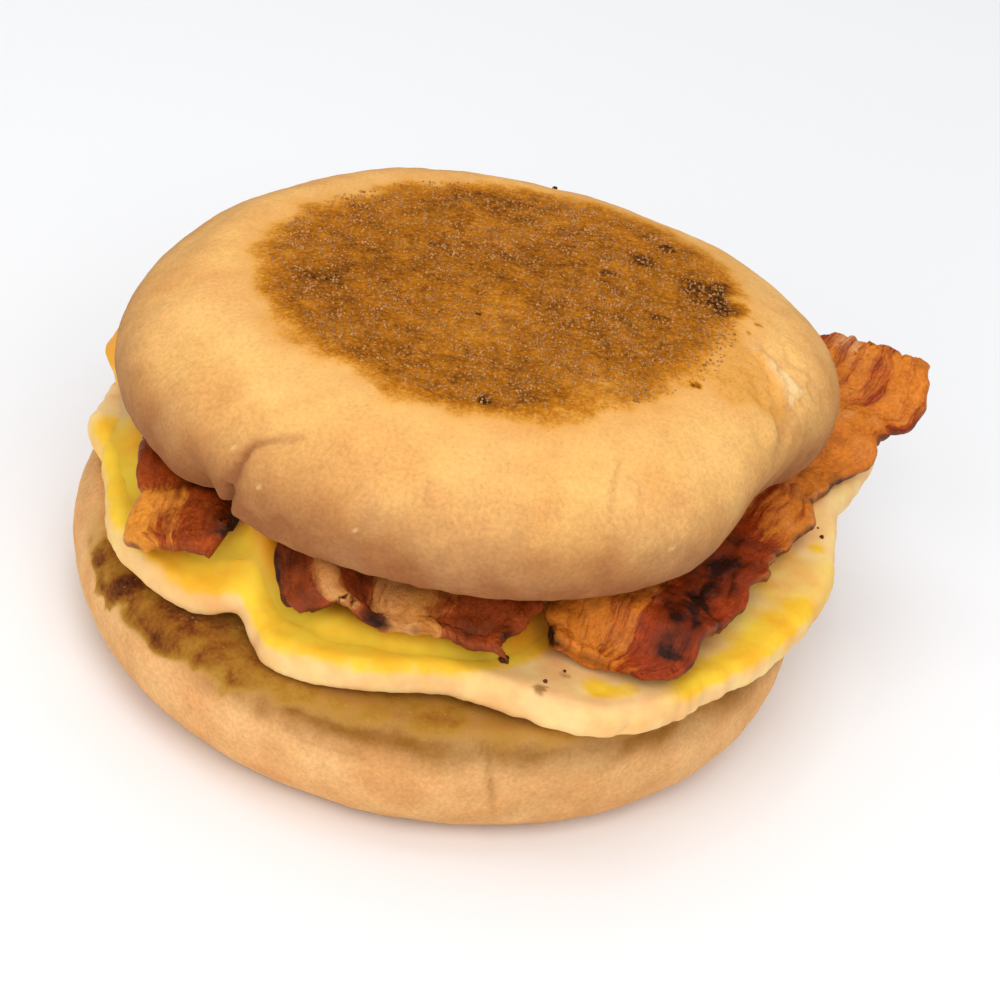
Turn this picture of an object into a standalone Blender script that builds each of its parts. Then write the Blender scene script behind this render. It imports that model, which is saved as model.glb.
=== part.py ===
"""Breakfast sandwich: a split muffin filled with a flat cooked egg, melted cheese and three strips of bacon.

Run it with blender --background --python part.py, or from Blender's text editor.
Lengths are in millimetres until a finished mesh is scaled to metres, and azimuths are in degrees from +X,
anticlockwise. The origin is the middle of the bottom half's flat base. +X is right, -Y front and +Z up.
"""

import math
from dataclasses import dataclass

import bmesh
import bpy
from mathutils import Euler, Vector, noise

MM = 0.001


@dataclass(frozen=True)
class Half:
    """One half of the muffin, as a profile turned about Z, with a flat face below and one above."""

    radius: float
    height: float
    belly: float
    lower_flat: float
    upper_flat: float
    lower_power: float
    upper_power: float


@dataclass(frozen=True)
class Strip:
    """A strip of bacon between two long edges, each given from the front end to the back end."""

    left: tuple
    right: tuple
    waves: float
    wave_start: float
    wave_height: float
    arch: float
    back_lift: float = 0.0
    fold_at: float = 0.25
    fold_height: float = 0.0


# The muffin is 96 mm across. Its griddled faces are flat, its belly is the widest part of each side.
BOTTOM = Half(48.1, 18.5, 10.5, 38.0, 45.2, 2.0, 2.2)
TOP = Half(46.5, 20.0, 8.0, 41.5, 25.0, 2.0, 1.95)
CUT_FACE_RELIEF = 0.25

# The top half leans back off the filling: the middle of its cut face, and how far it is turned.
TOP_SEAT = Vector((1.0, 1.9, 32.7))
TOP_LEAN = Euler((math.radians(-3.0), math.radians(-1.6), 0.0))

# A lobe is (azimuth, half width in degrees, height): a smooth swelling or, if negative, a dent.
BOTTOM_LOBES = ((218, 20, -0.6), (160, 22, 0.6), (60, 25, -0.8))
TOP_LOBES = ((20, 14, 1.9), (333, 15, -2.3), (270, 26, 0.9), (205, 14, 0.7), (157, 20, -1.8), (72, 16, -1.3))

# The bottom half's cut face sinks towards its rim at the front left.
RIM_DROP_AZIMUTH = 213.0
RIM_DROP_HALF_WIDTH = 19.0
RIM_DROP = 2.6
RIM_DROP_STARTS = 37.0

# The top half's side is drawn in above its lower rim: by a split in the crust at the front left, and at the right
# front by an undercut and a fold beside the right end. Each is (azimuth, half width, depth, height of its top).
SPLITS = ((227, 2.8, 2.6, 10.0), (337, 11.0, 4.2, 17.0), (350, 3.5, 1.0, 16.0))
SPLIT_BOTTOM = 2.0
SPLIT_INNER = 37.0

# The filling, from the bottom up.
LAYER_GAP = 0.6
EGG_THICKNESS = 5.0
EGG_RADIUS = 46.3
EGG_FLOOR = BOTTOM.height + CUT_FACE_RELIEF + 0.35
CHEESE_THICKNESS = 1.6
CHEESE_RADIUS = 43.2
BACON_THICKNESS = 2.2

EGG_LOBES = (
    (22, 6, 9.0),
    (5, 20, 5.0),
    (322, 24, 2.6),
    (301, 8, 2.8),
    (276, 10, -4.0),
    (236, 7, -4.4),
    (197, 12, -1.0),
    (184, 4, 1.8),
    (90, 30, -1.5),
)
EGG_RIM_LIFT = ((233, 8, 1.4), (276, 12, 0.9), (20, 12, 2.4), (186, 10, 1.6), (110, 25, 0.9))
CHEESE_LOBES = (
    (165, 6, 6.0),
    (192, 14, 1.6),
    (236, 8, -3.5),
    (276, 12, -2.0),
    (301, 9, -9.0),
    (322, 8, 5.5),
    (338, 6, 5.0),
    (5, 20, -4.5),
    (75, 9, 3.0),
)

# The egg and the cheese buckle up between two strips of bacon, in a ridge that runs to the front.
BUCKLE_AT = (-22.2, -29.5)
BUCKLE_HALF_WIDTH = 2.5
BUCKLE_HALF_LENGTH = 5.5
BUCKLE_HEIGHT = 5.4

BACON = {
    "bacon_left": Strip(
        left=((-36.0, -32.6), (-38.4, -30.5), (-38.9, -21.0), (-38.8, -12.0), (-38.0, 2.0), (-34.0, 15.0)),
        right=((-30.6, -34.6), (-27.8, -32.4), (-25.8, -24.5), (-24.4, -14.0), (-23.4, 2.0), (-26.0, 15.0)),
        waves=2.0,
        wave_start=0.6,
        wave_height=3.6,
        arch=1.4,
    ),
    "bacon_middle": Strip(
        left=((-14.5, -38.6), (-17.2, -37.0), (-18.4, -29.0), (-19.0, -16.0), (-19.0, 14.0), (-14.0, 38.0)),
        right=((10.2, -43.0), (13.6, -38.5), (12.4, -29.0), (9.0, -16.0), (8.5, 14.0), (8.0, 39.0)),
        waves=3.5,
        wave_start=0.65,
        wave_height=2.4,
        arch=0.8,
        fold_at=0.17,
        fold_height=4.6,
    ),
    "bacon_right": Strip(
        left=((16.6, -36.2), (15.4, -32.0), (15.4, -23.0), (21.0, 0.0), (32.0, 22.0), (47.5, 36.5)),
        right=((25.8, -38.0), (33.4, -35.2), (38.4, -23.0), (45.0, -5.0), (50.6, 9.0), (56.0, 18.0), (60.6, 30.5)),
        waves=4.5,
        wave_start=0.6,
        wave_height=2.8,
        arch=1.2,
        back_lift=5.6,
    ),
}

SPIN_STEPS = {"muffin_bottom": 54, "egg": 90, "cheese": 90, "muffin_top": 78}
ARC_STEPS = 5
STRIP_STEPS = {"bacon_left": (9, 22), "bacon_middle": (14, 26), "bacon_right": (9, 40)}

# Base colour and roughness of each food.
COLOURS = {
    "muffin_bottom": ((0.66, 0.36, 0.14, 1.0), 0.85),
    "egg": ((0.93, 0.66, 0.22, 1.0), 0.45),
    "cheese": ((0.90, 0.50, 0.05, 1.0), 0.40),
    "bacon_left": ((0.40, 0.12, 0.03, 1.0), 0.35),
    "bacon_middle": ((0.36, 0.10, 0.03, 1.0), 0.35),
    "bacon_right": ((0.42, 0.14, 0.04, 1.0), 0.35),
    "muffin_top": ((0.72, 0.41, 0.17, 1.0), 0.85),
}


def smooth_step(value, low, high):
    """0 below low, 1 above high, and a smooth ramp between them."""
    share = min(1.0, max(0.0, (value - low) / (high - low)))
    return share * share * (3.0 - 2.0 * share)


def bell(distance, half_width):
    """1 at no distance, falling away smoothly on both sides."""
    return math.exp(-0.5 * (distance / half_width) ** 2)


def turn_between(azimuth, other):
    """The smallest turn from one azimuth to another, in degrees."""
    return abs((azimuth - other + 180.0) % 360.0 - 180.0)


def lobes_at(lobes, azimuth):
    """The height of all the lobes together at an azimuth."""
    return sum(height * bell(turn_between(azimuth, centre), width) for centre, width, height in lobes)


def polar(x, y):
    """(azimuth in degrees, distance from the middle) of a point."""
    return math.degrees(math.atan2(y, x)) % 360.0, math.hypot(x, y)


def buckle_at(x, y):
    """How far the egg and the cheese on it buckle up at a point."""
    across = bell(x - BUCKLE_AT[0], BUCKLE_HALF_WIDTH)
    return BUCKLE_HEIGHT * across * bell(y - BUCKLE_AT[1], BUCKLE_HALF_LENGTH)


def egg_outline(azimuth):
    """The egg's radius at an azimuth."""
    return EGG_RADIUS + lobes_at(EGG_LOBES, azimuth)


def cheese_outline(azimuth):
    """The cheese's radius at an azimuth."""
    return CHEESE_RADIUS + lobes_at(CHEESE_LOBES, azimuth)


def egg_underside(x, y):
    """The height of the egg's lower face: on the cut face, lifted in waves towards the rim."""
    azimuth, reach = polar(x, y)
    to_rim = smooth_step(reach / egg_outline(azimuth), 0.5, 1.0)
    return EGG_FLOOR + buckle_at(x, y) + to_rim * lobes_at(EGG_RIM_LIFT, azimuth)


def egg_top(x, y):
    """The height of the next layer on the egg."""
    return egg_underside(x, y) + EGG_THICKNESS + LAYER_GAP


def cheese_underside(x, y):
    """The height of the cheese's lower face, on the egg, and hanging where it reaches past the egg."""
    azimuth, reach = polar(x, y)
    return egg_top(x, y) - 0.4 * max(0.0, reach - egg_outline(azimuth) + 1.5)


def bacon_bed(x, y):
    """The height that bacon lies on: the cheese, or the egg where there is no cheese."""
    azimuth, reach = polar(x, y)
    on_cheese = 1.0 - smooth_step(reach - cheese_outline(azimuth), 1.5, 8.0)
    return egg_top(x, y) + on_cheese * (CHEESE_THICKNESS + LAYER_GAP)


def headroom(x, y):
    """The height of the top half above a point, rising where its side curls up from the cut face."""
    up = TOP_LEAN.to_matrix() @ Vector((0.0, 0.0, 1.0))
    offset = Vector((x, y)) - TOP_SEAT.xy
    azimuth, reach = polar(*offset)
    reach *= TOP.radius / (TOP.radius + lobes_at(TOP_LOBES, azimuth))
    out = min(1.0, max(0.0, (reach - TOP.lower_flat) / (TOP.radius - TOP.lower_flat)))
    curl = TOP.belly * (1.0 - math.sqrt(1.0 - out**2))
    return TOP_SEAT.z - offset.dot(up.xy) / up.z + curl


def stretched(half_thickness, surface, x, y):
    """The half thickness of a sheet measured straight up, where it follows a sloping surface."""
    slope_x = 0.5 * (surface(x + 1.0, y) - surface(x - 1.0, y))
    slope_y = 0.5 * (surface(x, y + 1.0) - surface(x, y - 1.0))
    return half_thickness * math.sqrt(1.0 + slope_x**2 + slope_y**2)


def curve_through(points, share):
    """A point on the smooth curve through points, with share running from 0 at the first to 1 at the last."""
    place = share * (len(points) - 1)
    first = min(int(place), len(points) - 2)
    t = place - first
    start, end = Vector(points[first]), Vector(points[first + 1])
    before = Vector(points[first - 1]) if first else 2.0 * start - end
    after = Vector(points[first + 2]) if first + 2 < len(points) else 2.0 * end - start
    return 0.5 * (
        2.0 * start
        + (end - before) * t
        + (2.0 * before - 5.0 * start + 4.0 * end - after) * t**2
        + (3.0 * start - before - 3.0 * end + after) * t**3
    )


def strip_point(strip, along, across):
    """A point in the middle of a strip's thickness, with along and across running from 0 to 1."""
    place = curve_through(strip.left, along).lerp(curve_through(strip.right, along), across)
    phase = strip.waves * along + 0.2 * across + strip.wave_start
    rise = strip.wave_height * (0.5 + 0.5 * math.sin(math.tau * phase))
    rise += strip.arch * math.sin(math.pi * across) + strip.back_lift * smooth_step(along, 0.72, 1.0)
    rise += strip.fold_height * bell(across - strip.fold_at, 0.075) * (1.0 - smooth_step(along, 0.05, 0.3))
    half = stretched(0.5 * BACON_THICKNESS, bacon_bed, place.x, place.y)
    lowest = bacon_bed(place.x, place.y) + half
    room = headroom(place.x, place.y) - 2.0 * LAYER_GAP - half - lowest
    return Vector((place.x, place.y, lowest + min(rise, max(room, 0.0))))


def half_profile(half, flat_rings):
    """(radius, height) pairs up one half of the muffin, with each round stretch a quarter of a superellipse."""
    points = [(half.lower_flat * ring / flat_rings, 0.0) for ring in range(flat_rings)]
    for step in range(ARC_STEPS + 1):
        turn = 0.5 * math.pi * step / ARC_STEPS
        out = math.sin(turn) ** (2.0 / half.lower_power)
        down = math.cos(turn) ** (2.0 / half.lower_power)
        points.append((half.lower_flat + (half.radius - half.lower_flat) * out, half.belly * (1.0 - down)))
    for step in range(1, ARC_STEPS + 1):
        turn = 0.5 * math.pi * step / ARC_STEPS
        inward = max(0.0, math.cos(turn)) ** (2.0 / half.upper_power)
        up = math.sin(turn) ** (2.0 / half.upper_power)
        radius = half.upper_flat + (half.radius - half.upper_flat) * inward
        points.append((radius, half.belly + (half.height - half.belly) * up))
    points += [(half.upper_flat * (1.0 - ring / flat_rings), half.height) for ring in range(1, flat_rings + 1)]
    return points


def turned(profile, steps):
    """A bmesh of a profile of (radius, height) pairs turned once round Z, closed at its poles."""
    bm = bmesh.new()
    points = [bm.verts.new((radius, 0.0, height)) for radius, height in profile]
    edges = [bm.edges.new(pair) for pair in zip(points, points[1:])]
    bmesh.ops.spin(
        bm, geom=points + edges, cent=(0, 0, 0), axis=(0, 0, 1), angle=math.tau, steps=steps, use_merge=True
    )
    bmesh.ops.remove_doubles(bm, verts=bm.verts, dist=1e-4)
    bmesh.ops.recalc_face_normals(bm, faces=bm.faces)
    return bm


def finish_object(name, bm, collection):
    """Scales a bmesh from millimetres to metres and puts it in the scene with its own material."""
    bmesh.ops.scale(bm, vec=(MM, MM, MM), verts=bm.verts)
    mesh = bpy.data.meshes.new(name)
    bm.to_mesh(mesh)
    bm.free()
    mesh.shade_smooth()
    colour, roughness = COLOURS[name]
    material = bpy.data.materials.new(name)
    material.use_nodes = True
    shader = material.node_tree.nodes["Principled BSDF"]
    shader.inputs["Base Color"].default_value = colour
    shader.inputs["Roughness"].default_value = roughness
    mesh.materials.append(material)
    obj = bpy.data.objects.new(name, mesh)
    collection.objects.link(obj)
    return obj


def make_muffin_bottom(collection):
    """The bottom half: a flat griddled base, a bulging side and a cut face that sinks at the front left."""
    bm = turned(half_profile(BOTTOM, 3), SPIN_STEPS["muffin_bottom"])
    for vert in bm.verts:
        azimuth, reach = polar(vert.co.x, vert.co.y)
        height = vert.co.z
        drop = RIM_DROP * bell(turn_between(azimuth, RIM_DROP_AZIMUTH), RIM_DROP_HALF_WIDTH)
        vert.co.z -= drop * smooth_step(reach, RIM_DROP_STARTS, BOTTOM.radius) * smooth_step(height, 8.0, 18.0)
        if height > BOTTOM.height - CUT_FACE_RELIEF:
            vert.co.z += CUT_FACE_RELIEF * noise.noise(vert.co * 0.2)
        swell = 1.0 + lobes_at(BOTTOM_LOBES, azimuth) / BOTTOM.radius
        vert.co.x *= swell
        vert.co.y *= swell
    return finish_object("muffin_bottom", bm, collection)


def make_muffin_top(collection):
    """The top half: a domed side under a flat griddled crown, split at its lower rim, leaning on the filling."""
    bm = turned(half_profile(TOP, 3), SPIN_STEPS["muffin_top"])
    for vert in bm.verts:
        azimuth, reach = polar(vert.co.x, vert.co.y)
        split = sum(
            depth * bell(turn_between(azimuth, centre), width) * (1.0 - smooth_step(vert.co.z, SPLIT_BOTTOM, top))
            for centre, width, depth, top in SPLITS
        )
        split *= smooth_step(reach, SPLIT_INNER, TOP.lower_flat)
        swell = 1.0 + lobes_at(TOP_LOBES, azimuth) / TOP.radius - split / max(reach, TOP.lower_flat)
        vert.co.x *= swell
        vert.co.y *= swell
    bmesh.ops.rotate(bm, verts=bm.verts, cent=(0, 0, 0), matrix=TOP_LEAN.to_matrix())
    bmesh.ops.translate(bm, verts=bm.verts, vec=TOP_SEAT)
    return finish_object("muffin_top", bm, collection)


def slab_profile(rings):
    """The section of a slab with a round edge: (share of the radius, share of the thickness) pairs."""
    shares = [0.955 * math.sqrt(ring / rings) for ring in range(rings + 1)]
    edge = [(0.985, 0.12), (1.0, 0.5), (0.985, 0.88)]
    return [(share, 0.0) for share in shares] + edge + [(share, 1.0) for share in reversed(shares)]


def make_slab(name, rings, outline, underside, thickness, collection):
    """A thin layer: a turned slab of unit size whose every point is placed on the layer's outline and heights."""
    bm = turned(slab_profile(rings), SPIN_STEPS[name])
    for vert in bm.verts:
        azimuth, share = polar(vert.co.x, vert.co.y)
        reach = share * outline(azimuth)
        x = reach * math.cos(math.radians(azimuth))
        y = reach * math.sin(math.radians(azimuth))
        vert.co = (x, y, underside(x, y) + vert.co.z * thickness)
    return finish_object(name, bm, collection)


def make_strip(name, strip, collection):
    """A strip of bacon: a rippled sheet lofted between its long edges, given its thickness by Solidify."""
    bm = bmesh.new()
    across_steps, along_steps = STRIP_STEPS[name]
    bmesh.ops.create_grid(bm, x_segments=across_steps, y_segments=along_steps, size=0.5)
    for vert in bm.verts:
        vert.co = strip_point(strip, vert.co.y + 0.5, vert.co.x + 0.5)
    bmesh.ops.recalc_face_normals(bm, faces=bm.faces)
    obj = finish_object(name, bm, collection)
    wall = obj.modifiers.new("thickness", "SOLIDIFY")
    wall.thickness = BACON_THICKNESS * MM
    wall.offset = 0.0
    return obj


def main():
    """Clears the scene and builds the sandwich."""
    for obj in list(bpy.data.objects):
        bpy.data.objects.remove(obj)
    collection = bpy.data.collections.new("breakfast_sandwich")
    bpy.context.scene.collection.children.link(collection)
    make_muffin_bottom(collection)
    make_slab("egg", 7, egg_outline, egg_underside, EGG_THICKNESS, collection)
    make_slab("cheese", 6, cheese_outline, cheese_underside, CHEESE_THICKNESS, collection)
    for name, strip in BACON.items():
        make_strip(name, strip, collection)
    make_muffin_top(collection)


main()
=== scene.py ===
"""The looks of a breakfast sandwich: a griddled split muffin, a flat cooked egg, melted cheese and bacon.

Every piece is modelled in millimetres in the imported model's frame, and is scaled to metres when it is finished.
The origin is the middle of the flat base. +X is right, -Y front and +Z up. Azimuths are in degrees from +X,
anticlockwise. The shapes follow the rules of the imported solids, with finer steps and with relief.
"""

import logging
import math
import random
from dataclasses import dataclass, replace
from enum import Enum

import bmesh
import bpy
import numpy as np
from mathutils import Euler, Matrix, Vector, noise
from mathutils.bvhtree import BVHTree


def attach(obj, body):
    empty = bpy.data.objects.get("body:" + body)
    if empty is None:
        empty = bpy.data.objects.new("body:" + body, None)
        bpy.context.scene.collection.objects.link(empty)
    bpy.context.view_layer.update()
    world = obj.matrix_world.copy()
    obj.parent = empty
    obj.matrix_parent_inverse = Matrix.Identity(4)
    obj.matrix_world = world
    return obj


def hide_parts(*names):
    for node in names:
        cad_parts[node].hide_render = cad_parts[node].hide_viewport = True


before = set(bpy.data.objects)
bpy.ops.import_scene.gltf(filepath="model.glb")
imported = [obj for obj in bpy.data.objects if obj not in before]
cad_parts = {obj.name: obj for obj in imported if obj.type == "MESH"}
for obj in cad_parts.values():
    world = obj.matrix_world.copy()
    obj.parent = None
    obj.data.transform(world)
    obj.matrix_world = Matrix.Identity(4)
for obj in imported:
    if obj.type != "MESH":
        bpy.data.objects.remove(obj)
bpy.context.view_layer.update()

LOG = logging.getLogger("sandwich")
MM = 0.001
WELD = 1e-4
Array = np.ndarray
Pair = tuple[float, float]
Place = tuple[float, float, float]


class Slot(Enum):
    """Names for the sandwich's material slots; no piece here is given one."""

    MUFFIN = "muffin"
    EGG = "egg"
    CHEESE = "cheese"
    BACON = "bacon"


def smooth_step(value: Array, low: float, high: float) -> Array:
    """0 below low, 1 above high, and a smooth ramp between them."""
    share = np.clip((value - low) / (high - low), 0.0, 1.0)
    return share * share * (3.0 - 2.0 * share)


def bell(distance: Array, half_width: float) -> Array:
    """1 at no distance, falling away smoothly on both sides."""
    return np.exp(-0.5 * (distance / half_width) ** 2)


def turn_between(azimuth: Array, other: float) -> Array:
    """The smallest turn from each azimuth to another, in degrees."""
    return np.abs((azimuth - other + 180.0) % 360.0 - 180.0)


def polar(x: Array, y: Array) -> tuple[Array, Array]:
    """(azimuths in degrees, distances from the middle) of places on the plan."""
    return np.degrees(np.arctan2(y, x)) % 360.0, np.hypot(x, y)


def rough(points: Array, size: float, octaves: int = 1, seed: int = 0) -> Array:
    """Smooth random heights of about -1 to 1.

    Args:
        points: one place in mm on each row.
        size: how far apart the lumps are, in mm.
        octaves: how many layers of ever finer lumps there are.
        seed: picks another pattern.

    Returns:
        One height for each row.
    """
    shift = Vector((17.3, 5.1, 9.7)) * seed
    return np.array([noise.fractal(Vector(point) / size + shift, 1.0, 2.0, octaves) for point in points.tolist()])


@dataclass(frozen=True)
class Lumps:
    """A layer of random relief or colour: its height, how far apart its lumps are in mm, and its pattern."""

    height: float
    size: float
    octaves: int
    pattern: int

    def at(self, points: Array, first_pattern: int = 0) -> Array:
        """The layer's height at each point; its pattern is counted on from first_pattern."""
        return self.height * rough(points, self.size, self.octaves, first_pattern + self.pattern)


def layers_at(layers: tuple[Lumps, ...], points: Array) -> Array:
    """The height of all the layers together at each point."""
    return sum((layer.at(points) for layer in layers), np.zeros(len(points)))


def curve_through(points: tuple[Pair, ...], share: Array) -> Array:
    """Points on the smooth curve through some given points.

    Args:
        points: the places on the plan that the curve goes through, in order.
        share: how far along each wanted point is, from 0 at the first place to 1 at the last.

    Returns:
        One place on the plan for each share.
    """
    knots = np.array(points, float)
    reached = np.concatenate([[0.0], np.cumsum(np.linalg.norm(np.diff(knots, axis=0), axis=1))])
    place = np.interp(np.clip(share, 0.0, 1.0) * reached[-1], reached, np.arange(len(knots)))
    knots = np.vstack([2.0 * knots[0] - knots[1], knots, 2.0 * knots[-1] - knots[-2]])
    first = np.minimum(place.astype(int), len(points) - 2)
    t = (place - first)[:, None]
    before, start, end, after = (knots[first + step] for step in range(4))
    return 0.5 * (
        2.0 * start
        + (end - before) * t
        + (2.0 * before - 5.0 * start + 4.0 * end - after) * t**2
        + (3.0 * start - before - 3.0 * end + after) * t**3
    )


@dataclass(frozen=True)
class Lobe:
    """A smooth swelling of an outline round an azimuth or, if its height is negative, a dent."""

    azimuth: float
    half_width: float
    height: float


def lobes_at(lobes: tuple[Lobe, ...], azimuth: Array) -> Array:
    """The height of all the lobes together.

    Args:
        lobes: the swellings and dents of an outline.
        azimuth: where to add them up, in degrees.

    Returns:
        One height for each azimuth.
    """
    total = np.zeros_like(azimuth)
    for lobe in lobes:
        total += lobe.height * bell(turn_between(azimuth, lobe.azimuth), lobe.half_width)
    return total


@dataclass(frozen=True)
class Swell:
    """A smooth hump on the plan, in mm."""

    x: float
    y: float
    half_x: float
    half_y: float
    height: float

    def rise(self, x: Array, y: Array) -> Array:
        """How high the hump is at each place."""
        return self.height * bell(x - self.x, self.half_x) * bell(y - self.y, self.half_y)


GROOVE_WANDER = Lumps(1.0, 2.2, 2, 5)


@dataclass(frozen=True)
class Groove:
    """A line along a surface, such as a crack or a burnt line, which wanders and may fade towards its end."""

    path: tuple[Place, ...]
    half_width: float
    depth: float
    wander: float = 0.5
    fade: float = 0.75

    def laid_on(self, points: Array) -> "Groove":
        """The same line with each of its corners moved to the nearest of the points."""
        corners = [points[np.argmin(np.linalg.norm(points - corner, axis=1))] for corner in np.array(self.path)]
        return replace(self, path=tuple(map(tuple, corners)))

    def mark(self, points: Array) -> Array:
        """How deep or strong the line is.

        Args:
            points: places in mm, one on each row.

        Returns:
            One depth for each point, 0 far from the line.
        """
        path = np.array(self.path, float)
        steps = np.linalg.norm(np.diff(path, axis=0), axis=1)
        nearest = np.full(len(points), np.inf)
        reached = np.zeros(len(points))
        for start, end, before, step in zip(path, path[1:], np.cumsum(steps) - steps, steps):
            along = np.clip((points - start) @ (end - start) / step**2, 0.0, 1.0)
            away = np.linalg.norm(points - start - along[:, None] * (end - start), axis=1)
            closer = away < nearest
            nearest[closer] = away[closer]
            reached[closer] = (before + along * step)[closer] / steps.sum()
        close = nearest < 6.0 * self.half_width + 2.0 * self.wander
        depth = np.zeros(len(points))
        shaken = nearest[close] + self.wander * GROOVE_WANDER.at(points[close])
        depth[close] = self.depth * bell(shaken, self.half_width) * (1.0 - self.fade * reached[close] ** 2)
        return depth


@dataclass(frozen=True)
class Spot:
    """A round place on a surface: its middle and radius in mm, and how strong or high it is."""

    place: Place
    radius: float
    strength: float

    def mark(self, points: Array) -> Array:
        """How strongly the spot marks each point, with an uneven edge.

        Args:
            points: places in mm, one on each row.

        Returns:
            One mark for each point, 0 outside the spot.
        """
        away = np.linalg.norm(points - np.array(self.place), axis=1)
        close = away < 2.0 * self.radius
        mark = np.zeros(len(points))
        uneven = Lumps(0.45 * self.radius, 0.7 * self.radius, 3, 3)
        shaken = away[close] + uneven.at(points[close])
        mark[close] = self.strength * (1.0 - smooth_step(shaken, 0.45 * self.radius, 1.05 * self.radius))
        return mark


def marks_of(features: tuple[Groove | Spot, ...], points: Array) -> Array:
    """The marks of all the lines and spots together at each point."""
    return sum((feature.mark(points) for feature in features), np.zeros(len(points)))


def points_of(mesh: bpy.types.Mesh) -> Array:
    """Reads a mesh's vertices.

    Args:
        mesh: the mesh.

    Returns:
        The place of one vertex on each row.
    """
    flat = np.empty(3 * len(mesh.vertices), np.float32)
    mesh.vertices.foreach_get("co", flat)
    return flat.reshape(-1, 3).astype(float)


def set_points(mesh: bpy.types.Mesh, points: Array) -> None:
    """Moves a mesh's vertices."""
    mesh.vertices.foreach_set("co", points.astype(np.float32).ravel())
    mesh.update()


def normals_of(mesh: bpy.types.Mesh) -> Array:
    """Reads the directions that a mesh's surface faces.

    Args:
        mesh: the mesh.

    Returns:
        The direction at one vertex on each row.
    """
    flat = np.empty(3 * len(mesh.vertices), np.float32)
    mesh.vertex_normals.foreach_get("vector", flat)
    return flat.reshape(-1, 3).astype(float)


def paint(mesh: bpy.types.Mesh, name: str, amounts: Array) -> None:
    """Stores one number from 0 to 1 for each vertex, for a material to read."""
    layer = mesh.attributes.new(name, "FLOAT", "POINT")
    layer.data.foreach_set("value", np.clip(amounts, 0.0, 1.0).astype(np.float32))


def paint_flow(mesh: bpy.types.Mesh, places: Array) -> None:
    """Stores each vertex's place along the run of the fibres, in mm, for a material to read."""
    layer = mesh.attributes.new("flow", "FLOAT_VECTOR", "POINT")
    layer.data.foreach_set("vector", places.astype(np.float32).ravel())


def mesh_from(bm: bmesh.types.BMesh, name: str) -> bpy.types.Mesh:
    """Turns a bmesh into a mesh with its faces pointing out, and frees it.

    Args:
        bm: the bmesh.
        name: the mesh's name.

    Returns:
        The mesh.
    """
    bmesh.ops.recalc_face_normals(bm, faces=bm.faces)
    mesh = bpy.data.meshes.new(name)
    bm.to_mesh(mesh)
    bm.free()
    return mesh


def turned(profile: list[Pair], steps: int, name: str) -> bpy.types.Mesh:
    """Turns a section once round Z: a grid is rolled up and welded shut.

    Args:
        profile: the section, as (radius, height) pairs from its lower middle to its upper middle.
        steps: how many steps the turn has.
        name: the mesh's name.

    Returns:
        The closed mesh.
    """
    bm = bmesh.new()
    rings = len(profile) - 1
    bmesh.ops.create_grid(bm, x_segments=steps, y_segments=rings, size=0.5)
    for vert in bm.verts:
        radius, height = profile[round((vert.co.y + 0.5) * rings)]
        turn = math.tau * (vert.co.x + 0.5)
        vert.co = (radius * math.cos(turn), radius * math.sin(turn), height)
    bmesh.ops.remove_doubles(bm, verts=bm.verts, dist=WELD)
    return mesh_from(bm, name)


def finish_piece(
    mesh: bpy.types.Mesh, material: bpy.types.Material, nodes: tuple[str, ...]
) -> bpy.types.Object:
    """Puts a mesh in the scene as a piece that rides on the sandwich.

    Args:
        mesh: the piece's final mesh, in millimetres. The piece takes its name.
        material: its finish.
        nodes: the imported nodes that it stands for.

    Returns:
        The piece, in metres.
    """
    set_points(mesh, points_of(mesh) * MM)
    mesh.shade_smooth()
    mesh.materials.append(material)
    piece = bpy.data.objects.new(mesh.name, mesh)
    bpy.context.scene.collection.objects.link(piece)
    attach(piece, "root")
    if nodes:
        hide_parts(*nodes)
    triangles = sum(len(face.vertices) - 2 for face in mesh.polygons)
    LOG.info("%s: %d triangles", piece.name, triangles)
    return piece


def linear(colour: str) -> tuple[float, float, float, float]:
    """Turns an sRGB colour into the linear one that a shader takes.

    Args:
        colour: the colour, as #rrggbb.

    Returns:
        Linear red, green and blue, and an alpha of 1.
    """
    parts = [int(colour[start : start + 2], 16) / 255.0 for start in (1, 3, 5)]
    red, green, blue = (part / 12.92 if part <= 0.04045 else ((part + 0.055) / 1.055) ** 2.4 for part in parts)
    return red, green, blue, 1.0


def per_metre(size_mm: float) -> float:
    """The scale of a pattern in a material whose features are size_mm apart."""
    return 1.0 / (size_mm * MM)


def fill_sockets(tree: bpy.types.NodeTree, node: bpy.types.Node, inputs: dict) -> None:
    """Sets a node's inputs, each to a value or linked to another node's output.

    Args:
        tree: the material's nodes.
        node: the node whose inputs are set.
        inputs: values or outputs, by the input's name or number.
    """
    for name, value in inputs.items():
        if isinstance(value, bpy.types.NodeSocket):
            tree.links.new(value, node.inputs[name])
        else:
            node.inputs[name].default_value = value


def add_node(tree: bpy.types.NodeTree, kind: str, inputs: dict | None = None, **settings: object) -> bpy.types.Node:
    """Adds a node.

    Args:
        tree: the material's nodes.
        kind: the node's type.
        inputs: values or outputs for its inputs, by name or number.
        **settings: the node's own properties.

    Returns:
        The node.
    """
    node = tree.nodes.new(kind)
    for name, value in settings.items():
        setattr(node, name, value)
    fill_sockets(tree, node, inputs or {})
    return node


def new_material(name: str) -> tuple[bpy.types.Material, bpy.types.NodeTree, bpy.types.Node]:
    """Starts a material.

    Args:
        name: what the real material is.

    Returns:
        (The material, its nodes, its Principled shader.)
    """
    material = bpy.data.materials.new(name)
    material.use_nodes = True
    return material, material.node_tree, material.node_tree.nodes["Principled BSDF"]


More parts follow.
